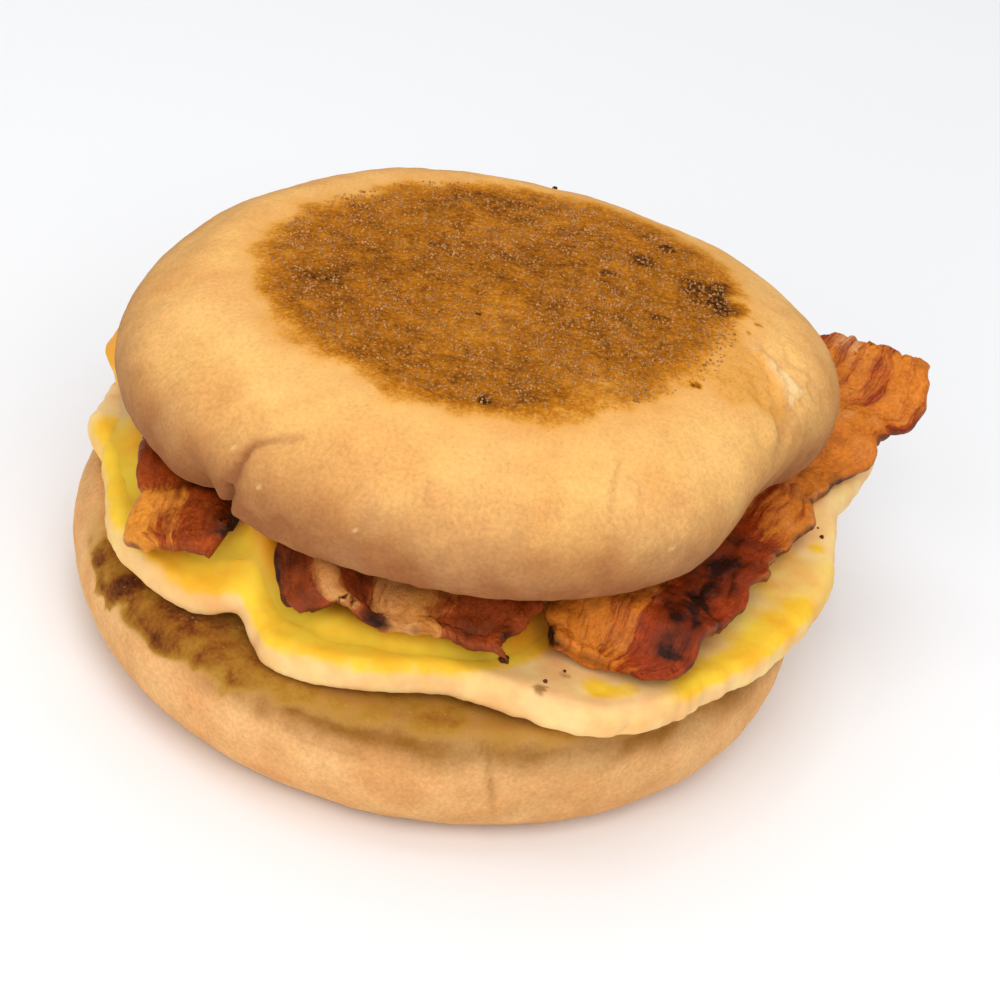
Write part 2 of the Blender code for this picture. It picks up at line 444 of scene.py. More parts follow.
@dataclass(frozen=True)
class Depth:
    """How light enters a food: its index, its shine, and how much sinks in, in which colours and how far in mm."""

    ior: float
    specular: float
    soaked: float
    colours: Place
    reach: float

    def sockets(self) -> dict[str, object]:
        """Lists the shader's inputs that this sets.

        Returns:
            Each input's value, by the input's name.
        """
        values = (self.ior, self.specular, self.soaked, self.colours, self.reach * MM)
        names = ("IOR", "Specular IOR Level", "Subsurface Weight", "Subsurface Radius", "Subsurface Scale")
        return dict(zip(names, values))


@dataclass(frozen=True)
class CrustFinish:
    """Griddled wheat muffin crust: baked dough dusted with semolina, scorched brown where it met the griddle.

    The dough is matt and slightly translucent, and soft light sinks into it. The scorched faces are dry and grainy,
    with pale semolina grains on brown. The flour's speckle and the pores are finer on a real crust, and are drawn at
    speckle_mm and pore_mm so that they show.
    """

    name: str
    dough: tuple[str, str] = ("#f7bf70", "#eaab62")
    toast_stops: tuple[tuple[float, str], ...] = (
        (0.0, "#f0b266"),
        (0.2, "#dd983c"),
        (0.4, "#b87014"),
        (0.6, "#95560c"),
        (0.8, "#6c3c08"),
        (1.0, "#3a1f06"),
    )
    # The darker tone mixed in by the bake attribute: a browner bake, and painted shade low on the sides, under the
    # egg and in cracks.
    baked: str = "#9f653c"
    semolina: str = "#c48f58"
    semolina_share: float = 0.4
    blotch_contrast: float = 1.1
    speckle_contrast: float = 1.7
    flour: str = "#f7cd90"
    cloud_mm: float = 9.0
    blotch_mm: float = 2.4
    speckle_mm: float = 0.55
    grain_mm: float = 0.6
    pore_mm: float = 0.35
    roughness: float = 0.85
    depth: Depth = Depth(1.4, 0.12, 0.12, (1.0, 0.5, 0.25), 1.2)

    def material(self) -> bpy.types.Material:
        """Builds the nodes, which read three painted attributes: toast, a darker tone that stands for a browner bake
        and for painted shade, and flour.

        Returns:
            The material.
        """
        material, tree, shader = new_material(self.name)
        place = add_node(tree, "ShaderNodeTexCoord").outputs["Object"]
        toast, bake_and_shade, flour = (
            add_node(tree, "ShaderNodeAttribute", attribute_name=name).outputs["Fac"]
            for name in ("toast", "bake_and_shade", "flour")
        )
        layers = (
            (self.cloud_mm, 4.0, 0.5),
            (self.blotch_mm, 5.0, 0.65),
            (self.speckle_mm, 3.0, 0.7),
            (self.pore_mm, 4.0, 0.6),
        )
        cloud, blotch, speckle, pores = (
            add_node(
                tree,
                "ShaderNodeTexNoise",
                {"Vector": place, "Scale": per_metre(size), "Detail": detail, "Roughness": fineness},
            ).outputs[0]
            for size, detail, fineness in layers
        )
        # Pale dough, clouded over centimetres and speckled by flour.
        dough_mix = add_node(
            tree, "ShaderNodeMapRange", {"Value": cloud, "From Min": 0.35, "From Max": 0.65}
        ).outputs[0]
        pale, deep = map(linear, self.dough)
        dough = add_node(tree, "ShaderNodeMix", {0: dough_mix, 6: deep, 7: pale}, data_type="RGBA").outputs[2]
        # Darker where the crust is painted browner: partly real bake, partly painted shade.
        darker = add_node(
            tree, "ShaderNodeMix", {0: bake_and_shade, 6: dough, 7: linear(self.baked)}, data_type="RGBA"
        ).outputs[2]
        floured = add_node(
            tree, "ShaderNodeMix", {0: flour, 6: darker, 7: linear(self.flour)}, data_type="RGBA"
        ).outputs[2]
        fleck = add_node(
            tree,
            "ShaderNodeMapRange",
            {"Value": speckle, "From Min": 0.3, "From Max": 0.7, "To Min": 0.84, "To Max": 1.1},
        ).outputs[0]
        flecked = add_node(tree, "ShaderNodeVectorMath", {0: floured, 1: fleck}, operation="MULTIPLY").outputs[0]
        # Toasting, broken up by the blotches and the speckle so that it has no clean edge.
        broken = add_node(
            tree,
            "ShaderNodeMath",
            {0: blotch, 1: self.blotch_contrast, 2: -0.5 * self.blotch_contrast},
            operation="MULTIPLY_ADD",
        ).outputs[0]
        fine = add_node(
            tree,
            "ShaderNodeMath",
            {0: speckle, 1: self.speckle_contrast, 2: -0.5 * self.speckle_contrast},
            operation="MULTIPLY_ADD",
        ).outputs[0]
        shaken = add_node(tree, "ShaderNodeMath", {0: broken, 1: fine}, operation="ADD").outputs[0]
        amount = add_node(
            tree, "ShaderNodeMath", {0: shaken, 1: toast, 2: toast}, operation="MULTIPLY_ADD", use_clamp=True
        ).outputs[0]
        toasting = add_node(tree, "ShaderNodeValToRGB", {"Fac": amount})
        elements = toasting.color_ramp.elements
        while len(elements) < len(self.toast_stops):
            elements.new(1.0)
        for element, (position, brown) in zip(elements, self.toast_stops):
            element.position = position
            element.color = linear(brown)
        cover = add_node(
            tree, "ShaderNodeMapRange", {"Value": amount, "From Min": 0.02, "From Max": 0.25}
        ).outputs[0]
        baked = add_node(
            tree, "ShaderNodeMix", {0: cover, 6: flecked, 7: toasting.outputs["Color"]}, data_type="RGBA"
        ).outputs[2]
        # Semolina pressed into the scorched face: one grain in some of the cells.
        cell = add_node(tree, "ShaderNodeTexVoronoi", {"Vector": place, "Scale": per_metre(self.grain_mm)})
        chosen = add_node(tree, "ShaderNodeSeparateColor", {"Color": cell.outputs["Color"]}).outputs[0]
        some = add_node(
            tree, "ShaderNodeMath", {0: chosen, 1: 1.0 - self.semolina_share}, operation="GREATER_THAN"
        ).outputs[0]
        core = add_node(
            tree,
            "ShaderNodeMapRange",
            {"Value": cell.outputs["Distance"], "From Min": 0.15, "From Max": 0.4, "To Min": 0.75, "To Max": 0.0},
        ).outputs[0]
        grain = add_node(tree, "ShaderNodeMath", {0: some, 1: core}, operation="MULTIPLY").outputs[0]
        on_toast = add_node(tree, "ShaderNodeMath", {0: grain, 1: cover}, operation="MULTIPLY").outputs[0]
        colour = add_node(
            tree, "ShaderNodeMix", {0: on_toast, 6: baked, 7: linear(self.semolina)}, data_type="RGBA"
        ).outputs[2]
        # Fine pores everywhere, and grains that stand up on the scorched faces.
        height = add_node(
            tree, "ShaderNodeMath", {0: on_toast, 1: 1.2, 2: pores}, operation="MULTIPLY_ADD"
        ).outputs[0]
        bump = add_node(
            tree, "ShaderNodeBump", {"Height": height, "Strength": 0.6, "Distance": 0.12 * MM}
        ).outputs[0]
        own = {"Base Color": colour, "Normal": bump, "Roughness": self.roughness}
        fill_sockets(tree, shader, own | self.depth.sockets())
        return material


@dataclass(frozen=True)
class EggFinish:
    """Cooked beaten egg: a smooth set skin, cream at its edge and yellower on top, with light soaking into it."""

    name: str = "cooked_egg_skin"
    cream: tuple[str, str] = ("#fdd898", "#f1b87c")
    yellow: tuple[str, str] = ("#ffd43c", "#fbb92c")
    brown: str = "#8a4f12"
    cloud_mm: float = 6.0
    curd_mm: float = 0.8
    roughness: float = 0.6
    depth: Depth = Depth(1.38, 0.2, 0.25, (1.0, 0.7, 0.3), 1.5)

    def material(self) -> bpy.types.Material:
        """Builds the nodes, which read the attributes yolk and browned.

        Returns:
            The material.
        """
        material, tree, shader = new_material(self.name)
        place = add_node(tree, "ShaderNodeTexCoord").outputs["Object"]
        yolk, browned = (
            add_node(tree, "ShaderNodeAttribute", attribute_name=name).outputs["Fac"] for name in ("yolk", "browned")
        )
        cloud, curd = (
            add_node(
                tree,
                "ShaderNodeTexNoise",
                {"Vector": place, "Scale": per_metre(size), "Detail": detail, "Roughness": fineness},
            ).outputs[0]
            for size, detail, fineness in ((self.cloud_mm, 5.0, 0.5), (self.curd_mm, 4.0, 0.6))
        )
        patch = add_node(tree, "ShaderNodeMapRange", {"Value": cloud, "From Min": 0.35, "From Max": 0.65}).outputs[0]
        cream, yellow = (
            add_node(tree, "ShaderNodeMix", {0: patch, 6: linear(deep), 7: linear(pale)}, data_type="RGBA").outputs[2]
            for pale, deep in (self.cream, self.yellow)
        )
        edge = add_node(tree, "ShaderNodeMath", {0: curd, 1: 0.5, 2: -0.25}, operation="MULTIPLY_ADD").outputs[0]
        amount = add_node(
            tree, "ShaderNodeMath", {0: edge, 1: yolk, 2: yolk}, operation="MULTIPLY_ADD", use_clamp=True
        ).outputs[0]
        mixed = add_node(tree, "ShaderNodeMix", {0: amount, 6: cream, 7: yellow}, data_type="RGBA").outputs[2]
        stained = add_node(
            tree, "ShaderNodeMix", {0: browned, 6: mixed, 7: linear(self.brown)}, data_type="RGBA"
        ).outputs[2]
        bump = add_node(
            tree, "ShaderNodeBump", {"Height": curd, "Strength": 0.5, "Distance": 0.12 * MM}
        ).outputs[0]
        own = {"Base Color": stained, "Normal": bump, "Roughness": self.roughness}
        fill_sockets(tree, shader, own | self.depth.sockets())
        return material


@dataclass(frozen=True)
class CheeseFinish:
    """Melted processed cheese: a thin even sheet with a soft shine, deeper in colour where it is thick, and deeper as
    painted shade under the bacon and on its hanging corner.
    """

    name: str = "melted_processed_cheese"
    pale: str = "#ffd740"
    # The deeper orange of thick cheese, also used as painted shade.
    deep: str = "#f7a51c"
    stain: str = "#f9cf92"
    cloud_mm: float = 7.0
    ripple_mm: float = 1.6
    roughness: float = 0.5
    depth: Depth = Depth(1.45, 0.25, 0.3, (1.0, 0.6, 0.15), 1.5)

    def material(self) -> bpy.types.Material:
        """Builds the nodes, which read two painted attributes: where the cheese is deeper, for its thickness and as
        painted shade, and where it is stained.

        Returns:
            The material.
        """
        material, tree, shader = new_material(self.name)
        place = add_node(tree, "ShaderNodeTexCoord").outputs["Object"]
        thick_and_shade, stained = (
            add_node(tree, "ShaderNodeAttribute", attribute_name=name).outputs["Fac"] for name in ("thick_and_shade", "stained")
        )
        cloud, ripple = (
            add_node(
                tree, "ShaderNodeTexNoise", {"Vector": place, "Scale": per_metre(size), "Detail": detail}
            ).outputs[0]
            for size, detail in ((self.cloud_mm, 4.0), (self.ripple_mm, 3.0))
        )
        shade = add_node(
            tree, "ShaderNodeMapRange", {"Value": cloud, "From Min": 0.35, "From Max": 0.7, "To Max": 0.6}
        ).outputs[0]
        amount = add_node(tree, "ShaderNodeMath", {0: shade, 1: thick_and_shade}, operation="ADD", use_clamp=True).outputs[0]
        melted = add_node(
            tree, "ShaderNodeMix", {0: amount, 6: linear(self.pale), 7: linear(self.deep)}, data_type="RGBA"
        ).outputs[2]
        colour = add_node(
            tree, "ShaderNodeMix", {0: stained, 6: melted, 7: linear(self.stain)}, data_type="RGBA"
        ).outputs[2]
        bump = add_node(
            tree, "ShaderNodeBump", {"Height": ripple, "Strength": 0.3, "Distance": 0.15 * MM}
        ).outputs[0]
        own = {"Base Color": colour, "Normal": bump, "Roughness": self.roughness}
        fill_sockets(tree, shader, own | self.depth.sockets())
        return material


@dataclass(frozen=True)
class BaconFinish:
    """Fried streaky bacon: red-brown lean and tan fat in strands along the rasher, with dark crisp edges.

    The fat is translucent and bubbled, the lean has shrunk into fibres, and a film of grease makes both shine. Real
    fibres and bubbles are about half as wide as strand_mm and bubble_mm, which are as coarse as they need to show.
    """

    name: str
    lean: tuple[str, str] = ("#b04a12", "#742d06")
    fat: tuple[str, str] = ("#e6882a", "#ba6416")
    # Pale fat, also used for painted highlights.
    pale_fat_and_highlight: str = "#dc9a62"
    # The colour of char, also used for painted shade.
    char_and_shade: str = "#301206"
    strand_mm: float = 0.55
    strand_length: float = 6.0
    bubble_mm: float = 0.5
    blotch_mm: float = 2.4
    roughness: Pair = (0.35, 0.6)
    depth: Depth = Depth(1.45, 0.18, 0.12, (1.0, 0.4, 0.2), 0.8)

    def material(self) -> bpy.types.Material:
        """Builds the nodes, which read the attributes fat, pale fat with painted highlights, char with painted shade,
        and flow.

        Returns:
            The material.
        """
        material, tree, shader = new_material(self.name)
        place = add_node(tree, "ShaderNodeTexCoord").outputs["Object"]
        fat, tallow_and_highlight, char_and_shade = (
            add_node(tree, "ShaderNodeAttribute", attribute_name=name).outputs["Fac"]
            for name in ("fat", "tallow_and_highlight", "char_and_shade")
        )
        flow = add_node(tree, "ShaderNodeAttribute", attribute_name="flow").outputs["Vector"]
        drawn_out = add_node(
            tree,
            "ShaderNodeVectorMath",
            {0: flow, 1: (1.0 / self.strand_mm, 1.0 / (self.strand_mm * self.strand_length), 1.0)},
            operation="MULTIPLY",
        ).outputs[0]
        strand = add_node(
            tree, "ShaderNodeTexNoise", {"Vector": drawn_out, "Scale": 1.0, "Detail": 4.0, "Roughness": 0.6}
        ).outputs[0]
        bubble, blotch = (
            add_node(
                tree,
                "ShaderNodeTexNoise",
                {"Vector": place, "Scale": per_metre(size), "Detail": detail, "Roughness": 0.65},
            ).outputs[0]
            for size, detail in ((self.bubble_mm, 3.0), (self.blotch_mm, 5.0))
        )
        grain = add_node(tree, "ShaderNodeMath", {0: blotch, 1: bubble}, operation="ADD").outputs[0]
        patch = add_node(tree, "ShaderNodeMapRange", {"Value": grain, "From Min": 0.75, "From Max": 1.25}).outputs[0]
        lean, crisp_fat = (
            add_node(tree, "ShaderNodeMix", {0: patch, 6: linear(deep), 7: linear(pale)}, data_type="RGBA").outputs[2]
            for pale, deep in (self.lean, self.fat)
        )
        fibre = add_node(
            tree,
            "ShaderNodeMapRange",
            {"Value": strand, "From Min": 0.3, "From Max": 0.7, "To Min": 0.8, "To Max": 1.2},
        ).outputs[0]
        fibrous = add_node(tree, "ShaderNodeVectorMath", {0: lean, 1: fibre}, operation="MULTIPLY").outputs[0]
        shake = add_node(tree, "ShaderNodeMath", {0: strand, 1: 1.2, 2: -0.6}, operation="MULTIPLY_ADD").outputs[0]
        fat_amount = add_node(tree, "ShaderNodeMath", {0: shake, 1: fat}, operation="ADD").outputs[0]
        # Pale fat, and painted highlights on curled crests and on the tip.
        pale_and_highlight = add_node(
            tree, "ShaderNodeMath", {0: grain, 1: tallow_and_highlight}, operation="MULTIPLY", use_clamp=True
        ).outputs[0]
        all_fat = add_node(
            tree, "ShaderNodeMix", {0: pale_and_highlight, 6: crisp_fat, 7: linear(self.pale_fat_and_highlight)}, data_type="RGBA"
        ).outputs[2]
        fat_edge = add_node(
            tree, "ShaderNodeMapRange", {"Value": fat_amount, "From Min": 0.25, "From Max": 0.75}
        ).outputs[0]
        meat = add_node(tree, "ShaderNodeMix", {0: fat_edge, 6: fibrous, 7: all_fat}, data_type="RGBA").outputs[2]
        # Char, and painted shade in hollows and under the top half, both darken to the same near-black.
        char_shake = add_node(
            tree, "ShaderNodeMath", {0: grain, 1: 0.6, 2: char_and_shade}, operation="MULTIPLY_ADD"
        ).outputs[0]
        char_edge = add_node(
            tree, "ShaderNodeMapRange", {"Value": char_shake, "From Min": 0.9, "From Max": 1.5}
        ).outputs[0]
        crisp = add_node(
            tree, "ShaderNodeMix", {0: char_edge, 6: meat, 7: linear(self.char_and_shade)}, data_type="RGBA"
        ).outputs[2]
        height = add_node(
            tree, "ShaderNodeMath", {0: strand, 1: 0.7, 2: bubble}, operation="MULTIPLY_ADD"
        ).outputs[0]
        bump = add_node(
            tree, "ShaderNodeBump", {"Height": height, "Strength": 0.8, "Distance": 0.22 * MM}
        ).outputs[0]
        greasy, dry = self.roughness
        gloss = add_node(
            tree,
            "ShaderNodeMapRange",
            {"Value": blotch, "From Min": 0.3, "From Max": 0.7, "To Min": greasy, "To Max": dry},
        ).outputs[0]
        fill_sockets(
            tree, shader, {"Base Color": crisp, "Normal": bump, "Roughness": gloss} | self.depth.sockets()
        )
        return material


@dataclass(frozen=True)
class CrumbFinish:
    """Loose crumbs: semolina grains or bits of burnt crust, matt, with each crumb a little lighter or darker.

    The light and dark patches are grain_mm apart, which is coarser than a grain, so that one grain has one colour.
    """

    name: str
    light: str
    dark: str
    grain_mm: float = 1.5

    def material(self) -> bpy.types.Material:
        """Builds the nodes.

        Returns:
            The material.
        """
        material, tree, shader = new_material(self.name)
        place = add_node(tree, "ShaderNodeTexCoord").outputs["Object"]
        cell = add_node(
            tree, "ShaderNodeTexNoise", {"Vector": place, "Scale": per_metre(self.grain_mm), "Detail": 2.0}
        ).outputs[0]
        share = add_node(tree, "ShaderNodeMapRange", {"Value": cell, "From Min": 0.35, "From Max": 0.65}).outputs[0]
        colour = add_node(
            tree, "ShaderNodeMix", {0: share, 6: linear(self.dark), 7: linear(self.light)}, data_type="RGBA"
        ).outputs[2]
        fill_sockets(tree, shader, {"Base Color": colour, "Roughness": 0.8, "Specular IOR Level": 0.1})
        return material


@dataclass(frozen=True)
class HalfSection:
    """The section of one muffin half, turned round Z, with a flat face below and one above."""

    radius: float
    height: float
    belly: float
    lower_flat: float
    upper_flat: float
    lower_power: float
    upper_power: float
    samples: int = 240
    least_step: float = 0.3

    def outline(self) -> Array:
        """Draws the section's outline.

        Returns:
            Close (radius, height) pairs from the lower face's middle, up the side, to the upper face's middle.
        """
        turn = np.linspace(0.0, 0.5 * math.pi, self.samples)
        sine, cosine = np.sin(turn), np.clip(np.cos(turn), 0.0, 1.0)
        lower = np.column_stack(
            [
                self.lower_flat + (self.radius - self.lower_flat) * sine ** (2.0 / self.lower_power),
                self.belly * (1.0 - cosine ** (2.0 / self.lower_power)),
            ]
        )
        upper = np.column_stack(
            [
                self.upper_flat + (self.radius - self.upper_flat) * cosine ** (2.0 / self.upper_power),
                self.belly + (self.height - self.belly) * sine ** (2.0 / self.upper_power),
            ]
        )
        return np.vstack([[0.0, 0.0], lower, upper[1:], [0.0, self.height]])

    def rings(self, coarse_to: float, coarse: float, fine_to: float, fine: float) -> list[Pair]:
        """(radius, height) pairs spaced evenly along the section.

        Args:
            coarse_to: how far along the section the first, coarse stretch goes.
            coarse: the spacing before that and after fine_to.
            fine_to: where the fine stretch ends, measured back from the section's end.
            fine: the spacing between them.

        Returns:
            The pairs, from the lower face's middle to the upper face's middle.
        """
        path = self.outline()
        length = np.concatenate([[0.0], np.cumsum(np.linalg.norm(np.diff(path, axis=0), axis=1))])
        last = length[-1] - fine_to
        stops = np.concatenate(
            [np.arange(0.0, coarse_to, coarse), np.arange(coarse_to, last, fine), np.arange(last, length[-1], coarse)]
        )
        stops = np.append(stops[stops < length[-1] - self.least_step], length[-1])
        radii, heights = np.interp(stops, length, path[:, 0]), np.interp(stops, length, path[:, 1])
        return list(zip(radii.tolist(), heights.tolist()))


@dataclass(frozen=True)
class Split:
    """A place where the side of the top half is drawn in above its lower rim."""

    azimuth: float
    half_width: float
    depth: float
    top: float


@dataclass(frozen=True)
class MuffinTop:
    """The top half: a domed side under a flat griddled crown, leaning back on the filling."""

    section: HalfSection = HalfSection(46.5, 20.0, 8.0, 41.5, 25.0, 2.0, 1.95)
    seat: Place = (1.0, 1.9, 32.7)
    lean: Pair = (-3.0, -1.6)
    lobes: tuple[Lobe, ...] = (
        Lobe(20, 14, 1.9),
        Lobe(333, 15, -2.3),
        Lobe(270, 26, 0.9),
        Lobe(205, 14, 0.7),
        Lobe(157, 20, -1.8),
        Lobe(72, 16, -1.3),
    )
    splits: tuple[Split, ...] = (Split(227, 2.8, 2.6, 10.0), Split(337, 11.0, 4.2, 17.0), Split(350, 3.5, 1.0, 16.0))
    split_bottom: float = 2.0
    split_inner: float = 37.0
    steps: int = 560
    hidden_to: float = 34.0
    ring_gaps: Pair = (2.6, 0.56)
    relief_layers: tuple[Lumps, ...] = (Lumps(0.34, 15.0, 2, 1), Lumps(0.12, 5.0, 2, 2), Lumps(0.05, 1.6, 2, 3))
    rim_lumps: Lumps = Lumps(0.16, 2.4, 2, 9)
    rim_below: Pair = (36.0, 41.0)
    shoulder_height: float = 0.35
    shoulder_back: Lobe = Lobe(180, 30, 0.55)
    shoulder_reach: float = 35.0
    shoulder_width: float = 2.6
    shoulder_above: Pair = (47.0, 49.0)
    toast_radius: float = 29.3
    toast_lobes: tuple[Lobe, ...] = (Lobe(40, 26, 7.5), Lobe(90, 16, 2.5), Lobe(272, 22, 1.6))
    toast_edge: Lumps = Lumps(1.5, 5.0, 3, 11)
    toast_fade: Pair = (-3.6, 4.6)
    toast_above: Pair = (47.0, 48.5)
    toast_level: float = 0.56
    toast_clouds: tuple[Lumps, ...] = (Lumps(0.12, 8.0, 3, 12), Lumps(0.10, 2.2, 2, 13))
    toast_grain: Lumps = Lumps(0.16, 1.1, 1, 4)
    toast_sink: float = 0.15
    fringe_fade: Pair = (-6.0, 0.5)
    fringe_above: Pair = (46.0, 48.5)
    fringe_level: float = 0.14
    scorches: tuple[Spot, ...] = (
        Spot((28.0, 9.6, 52.7), 4.2, 0.3),
        Spot((31.2, 6.8, 52.4), 2.8, 0.3),
        Spot((30.0, 12.8, 52.3), 1.8, 0.25),
        Spot((34.6, 4.8, 52.0), 0.8, 0.4),
        Spot((33.6, 1.8, 52.2), 0.7, 0.4),
        Spot((36.0, 7.2, 51.7), 0.6, 0.3),
        Spot((18.9, 16.7, 52.6), 2.2, 0.26),
        Spot((22.2, 21.3, 52.1), 1.6, 0.3),
        Spot((15.0, 11.0, 52.8), 1.3, 0.22),
        Spot((22.3, 0.6, 53.3), 1.4, 0.22),
        Spot((27.4, -14.0, 53.2), 0.9, 0.6),
        Spot((2.0, -27.4, 53.8), 1.0, 0.5),
        Spot((-0.5, -6.1, 53.1), 0.45, 0.9),
        Spot((-20.5, -1.0, 52.4), 5.0, 0.08),
        Spot((-8.0, 3.0, 52.7), 4.0, 0.06),
    )
    golden_places: tuple[Spot, ...] = (Spot((31.5, -7.0, 52.0), 9.5, 0.19), Spot((22.0, -19.0, 53.3), 6.0, 0.13))
    pale_places: tuple[Spot, ...] = (Spot((0.5, -7.5, 53.2), 8.5, 0.12), Spot((14.0, -20.0, 53.9), 6.0, 0.1))
    grooves: tuple[Groove, ...] = (
        Groove(((-25.4, -31.0, 33.0), (-26.0, -34.2, 36.6), (-26.0, -35.2, 39.4)), 0.5, 3.0, 0.15, 0.4),
        Groove(
            ((-25.9, -35.3, 39.0), (-24.7, -36.3, 43.1), (-23.7, -35.2, 46.5), (-17.9, -35.8, 48.8)),
            0.36,
            0.6,
            0.3,
            0.6,
        ),
        Groove(
            ((-26.1, -35.1, 38.8), (-24.7, -36.3, 43.1), (-23.7, -35.2, 46.5), (-20.7, -35.5, 48.0)), 1.1, 0.16, 0.3
        ),
        Groove(((39.5, -6.8, 49.5), (39.5, -10.0, 48.5), (39.3, -13.0, 47.3), (39.0, -14.7, 46.2)), 0.8, 0.45, 0.3),
        Groove(((19.3, -32.2, 51.8), (19.3, -35.7, 50.1), (19.4, -37.2, 48.9), (19.5, -38.5, 47.7)), 0.3, 0.35, 0.2),
        Groove(((22.0, -34.4, 50.0), (22.8, -35.8, 48.4), (23.2, -36.8, 47.2)), 0.28, 0.25, 0.15),
        Groove(((-2.6, -40.6, 49.4), (-2.3, -41.5, 48.8), (-1.8, -42.7, 47.7)), 0.28, 0.2, 0.15),
    )
    pits: tuple[Spot, ...] = (
        Spot((39.2, -1.5, 50.6), 0.9, 0.5),
        Spot((41.8, -4.3, 48.7), 0.7, 0.45),
        Spot((37.0, -5.4, 51.4), 0.8, 0.35),
        Spot((35.0, -3.4, 52.3), 0.6, 0.3),
        Spot((42.6, -1.2, 48.6), 0.7, 0.35),
    )
    flakes: tuple[Spot, ...] = (
        Spot((34.8, -1.8, 52.4), 1.1, 0.3),
        Spot((36.7, -3.2, 52.0), 1.5, 0.4),
        Spot((39.2, -4.1, 50.8), 1.9, 0.45),
        Spot((41.0, -3.8, 49.6), 1.5, 0.4),
        Spot((39.9, -6.2, 49.6), 1.4, 0.35),
    )
    flake_lumps: Lumps = Lumps(1.0, 0.9, 2, 6)
    torn: Spot = Spot((39.0, -4.5, 49.5), 9.0, 0.7)
    torn_lumps: Lumps = Lumps(1.0, 2.6, 2, 8)
    torn_sink: float = 0.4
    grits: int = 70
    grit_azimuth: Pair = (280.0, 45.0)
    grit_reach: Pair = (41.0, 46.5)
    grit_heights: Pair = (42.0, 50.5)
    grit_radii: Pair = (0.35, 0.6)
    grit_stands: float = 0.22
    crumb_below: Pair = (31.0, 35.5)
    crumb_toast: float = 0.35
    # Painted shade: the side darkens below a wandering line, lower at the left, higher at the front, and in its cuts.
    shade_shift: tuple[Lobe, ...] = (Lobe(190, 22, 1.4), Lobe(268, 24, -1.4))
    shade_edge: Lumps = Lumps(0.6, 7.0, 3, 15)
    shade_below: Pair = (36.5, 52.5)
    bake_clouds: Lumps = Lumps(0.12, 3.0, 3, 16)
    deepest_cut: float = 0.6
    flour_on_flakes: float = 2.2
    flour_on_grit: float = 2.4
    flour_level: float = 0.1
    flour_patches: Lumps = Lumps(1.0, 12.0, 3, 7)
    flour_from: Pair = (-0.1, 0.5)

    def turn(self) -> Matrix:
        """How the half is turned on its seat."""
        return Euler((math.radians(self.lean[0]), math.radians(self.lean[1]), 0.0)).to_matrix()

    def headroom(self, x: Array, y: Array) -> Array:
        """The height of the half's underside.

        Args:
            x: places on the plan.
            y: the same, the other way.

        Returns:
            One height for each place.
        """
        up = np.array(self.turn() @ Vector((0.0, 0.0, 1.0)))
        out_x, out_y = x - self.seat[0], y - self.seat[1]
        azimuth, reach = polar(out_x, out_y)
        reach = reach * self.section.radius / (self.section.radius + lobes_at(self.lobes, azimuth))
        flat = self.section.lower_flat
        out = np.clip((reach - flat) / (self.section.radius - flat), 0.0, 1.0)
        curl = self.section.belly * (1.0 - np.sqrt(1.0 - out**2))
        return self.seat[2] - (out_x * up[0] + out_y * up[1]) / up[2] + curl

    def shape(self, points: Array) -> Array:
        """Moves the turned section to the half's true form, on its seat.

        Args:
            points: the turned section's points.

        Returns:
            The half's points.
        """
        azimuth, reach = polar(points[:, 0], points[:, 1])
        height = points[:, 2]
        split = np.zeros_like(reach)
        for place in self.splits:
            fade = 1.0 - smooth_step(height, self.split_bottom, place.top)
            split += place.depth * bell(turn_between(azimuth, place.azimuth), place.half_width) * fade
        split *= smooth_step(reach, self.split_inner, self.section.lower_flat)
        swell = lobes_at(self.lobes, azimuth) / self.section.radius
        swell = 1.0 + swell - split / np.maximum(reach, self.section.lower_flat)
        moved = points * np.column_stack([swell, swell, np.ones_like(swell)])
        return moved @ np.array(self.turn()).T + np.array(self.seat)

    def toast(self, points: Array) -> Array:
        """How scorched the half is: its flat crown, with an uneven edge, and patches of its own.

        Args:
            points: the half's points.

        Returns:
            One share for each point, about 0.5 on the crown.
        """
        azimuth, reach = polar(points[:, 0], points[:, 1])
        height = points[:, 2]
        inside = self.toast_radius + lobes_at(self.toast_lobes, azimuth) + self.toast_edge.at(points) - reach
        crown = smooth_step(inside, *self.toast_fade) * smooth_step(height, *self.toast_above)
        amount = crown * (self.toast_level + layers_at(self.toast_clouds, points))
        amount += marks_of(self.scorches, points) - marks_of(self.pale_places, points)
        fringe = self.fringe_level * smooth_step(inside, *self.fringe_fade) * smooth_step(height, *self.fringe_above)
        return np.maximum(amount, np.maximum(fringe, marks_of(self.golden_places, points)))

    def relief(self, points: Array, toast: Array) -> Array:
        """The height of the crust's relief, apart from its cuts.

        Args:
            points: the half's points.
            toast: how scorched each point is.

        Returns:
            One height for each point.
        """
        height = layers_at(self.relief_layers, points) + toast * (self.toast_grain.at(points) - self.toast_sink)
        height += self.rim_lumps.at(points) * (1.0 - smooth_step(points[:, 2], *self.rim_below))
        azimuth, reach = polar(points[:, 0], points[:, 1])
        shoulder = self.shoulder_height + lobes_at((self.shoulder_back,), azimuth)
        shoulder *= bell(reach - self.shoulder_reach, self.shoulder_width)
        height += shoulder * smooth_step(points[:, 2], *self.shoulder_above)
        height += marks_of(self.flakes, points) * (1.0 + self.flake_lumps.at(points)) + marks_of(self.grit(), points)
        height += marks_of((self.torn,), points) * (self.torn_lumps.at(points) - self.torn_sink)
        return height - marks_of(self.pits, points)

    def grit(self) -> tuple[Spot, ...]:
        """Scatters coarse grains of semolina, baked into the side and thickest at the front.

        Returns:
            One spot for each grain.
        """
        draw = random.Random(9)
        spots = []
        for _ in range(self.grits):
            azimuth = math.radians(draw.gauss(*self.grit_azimuth))
            reach = draw.uniform(*self.grit_reach)
            place = (reach * math.cos(azimuth), reach * math.sin(azimuth), draw.uniform(*self.grit_heights))
            spots.append(Spot(place, draw.uniform(*self.grit_radii), self.grit_stands))
        return tuple(spots)

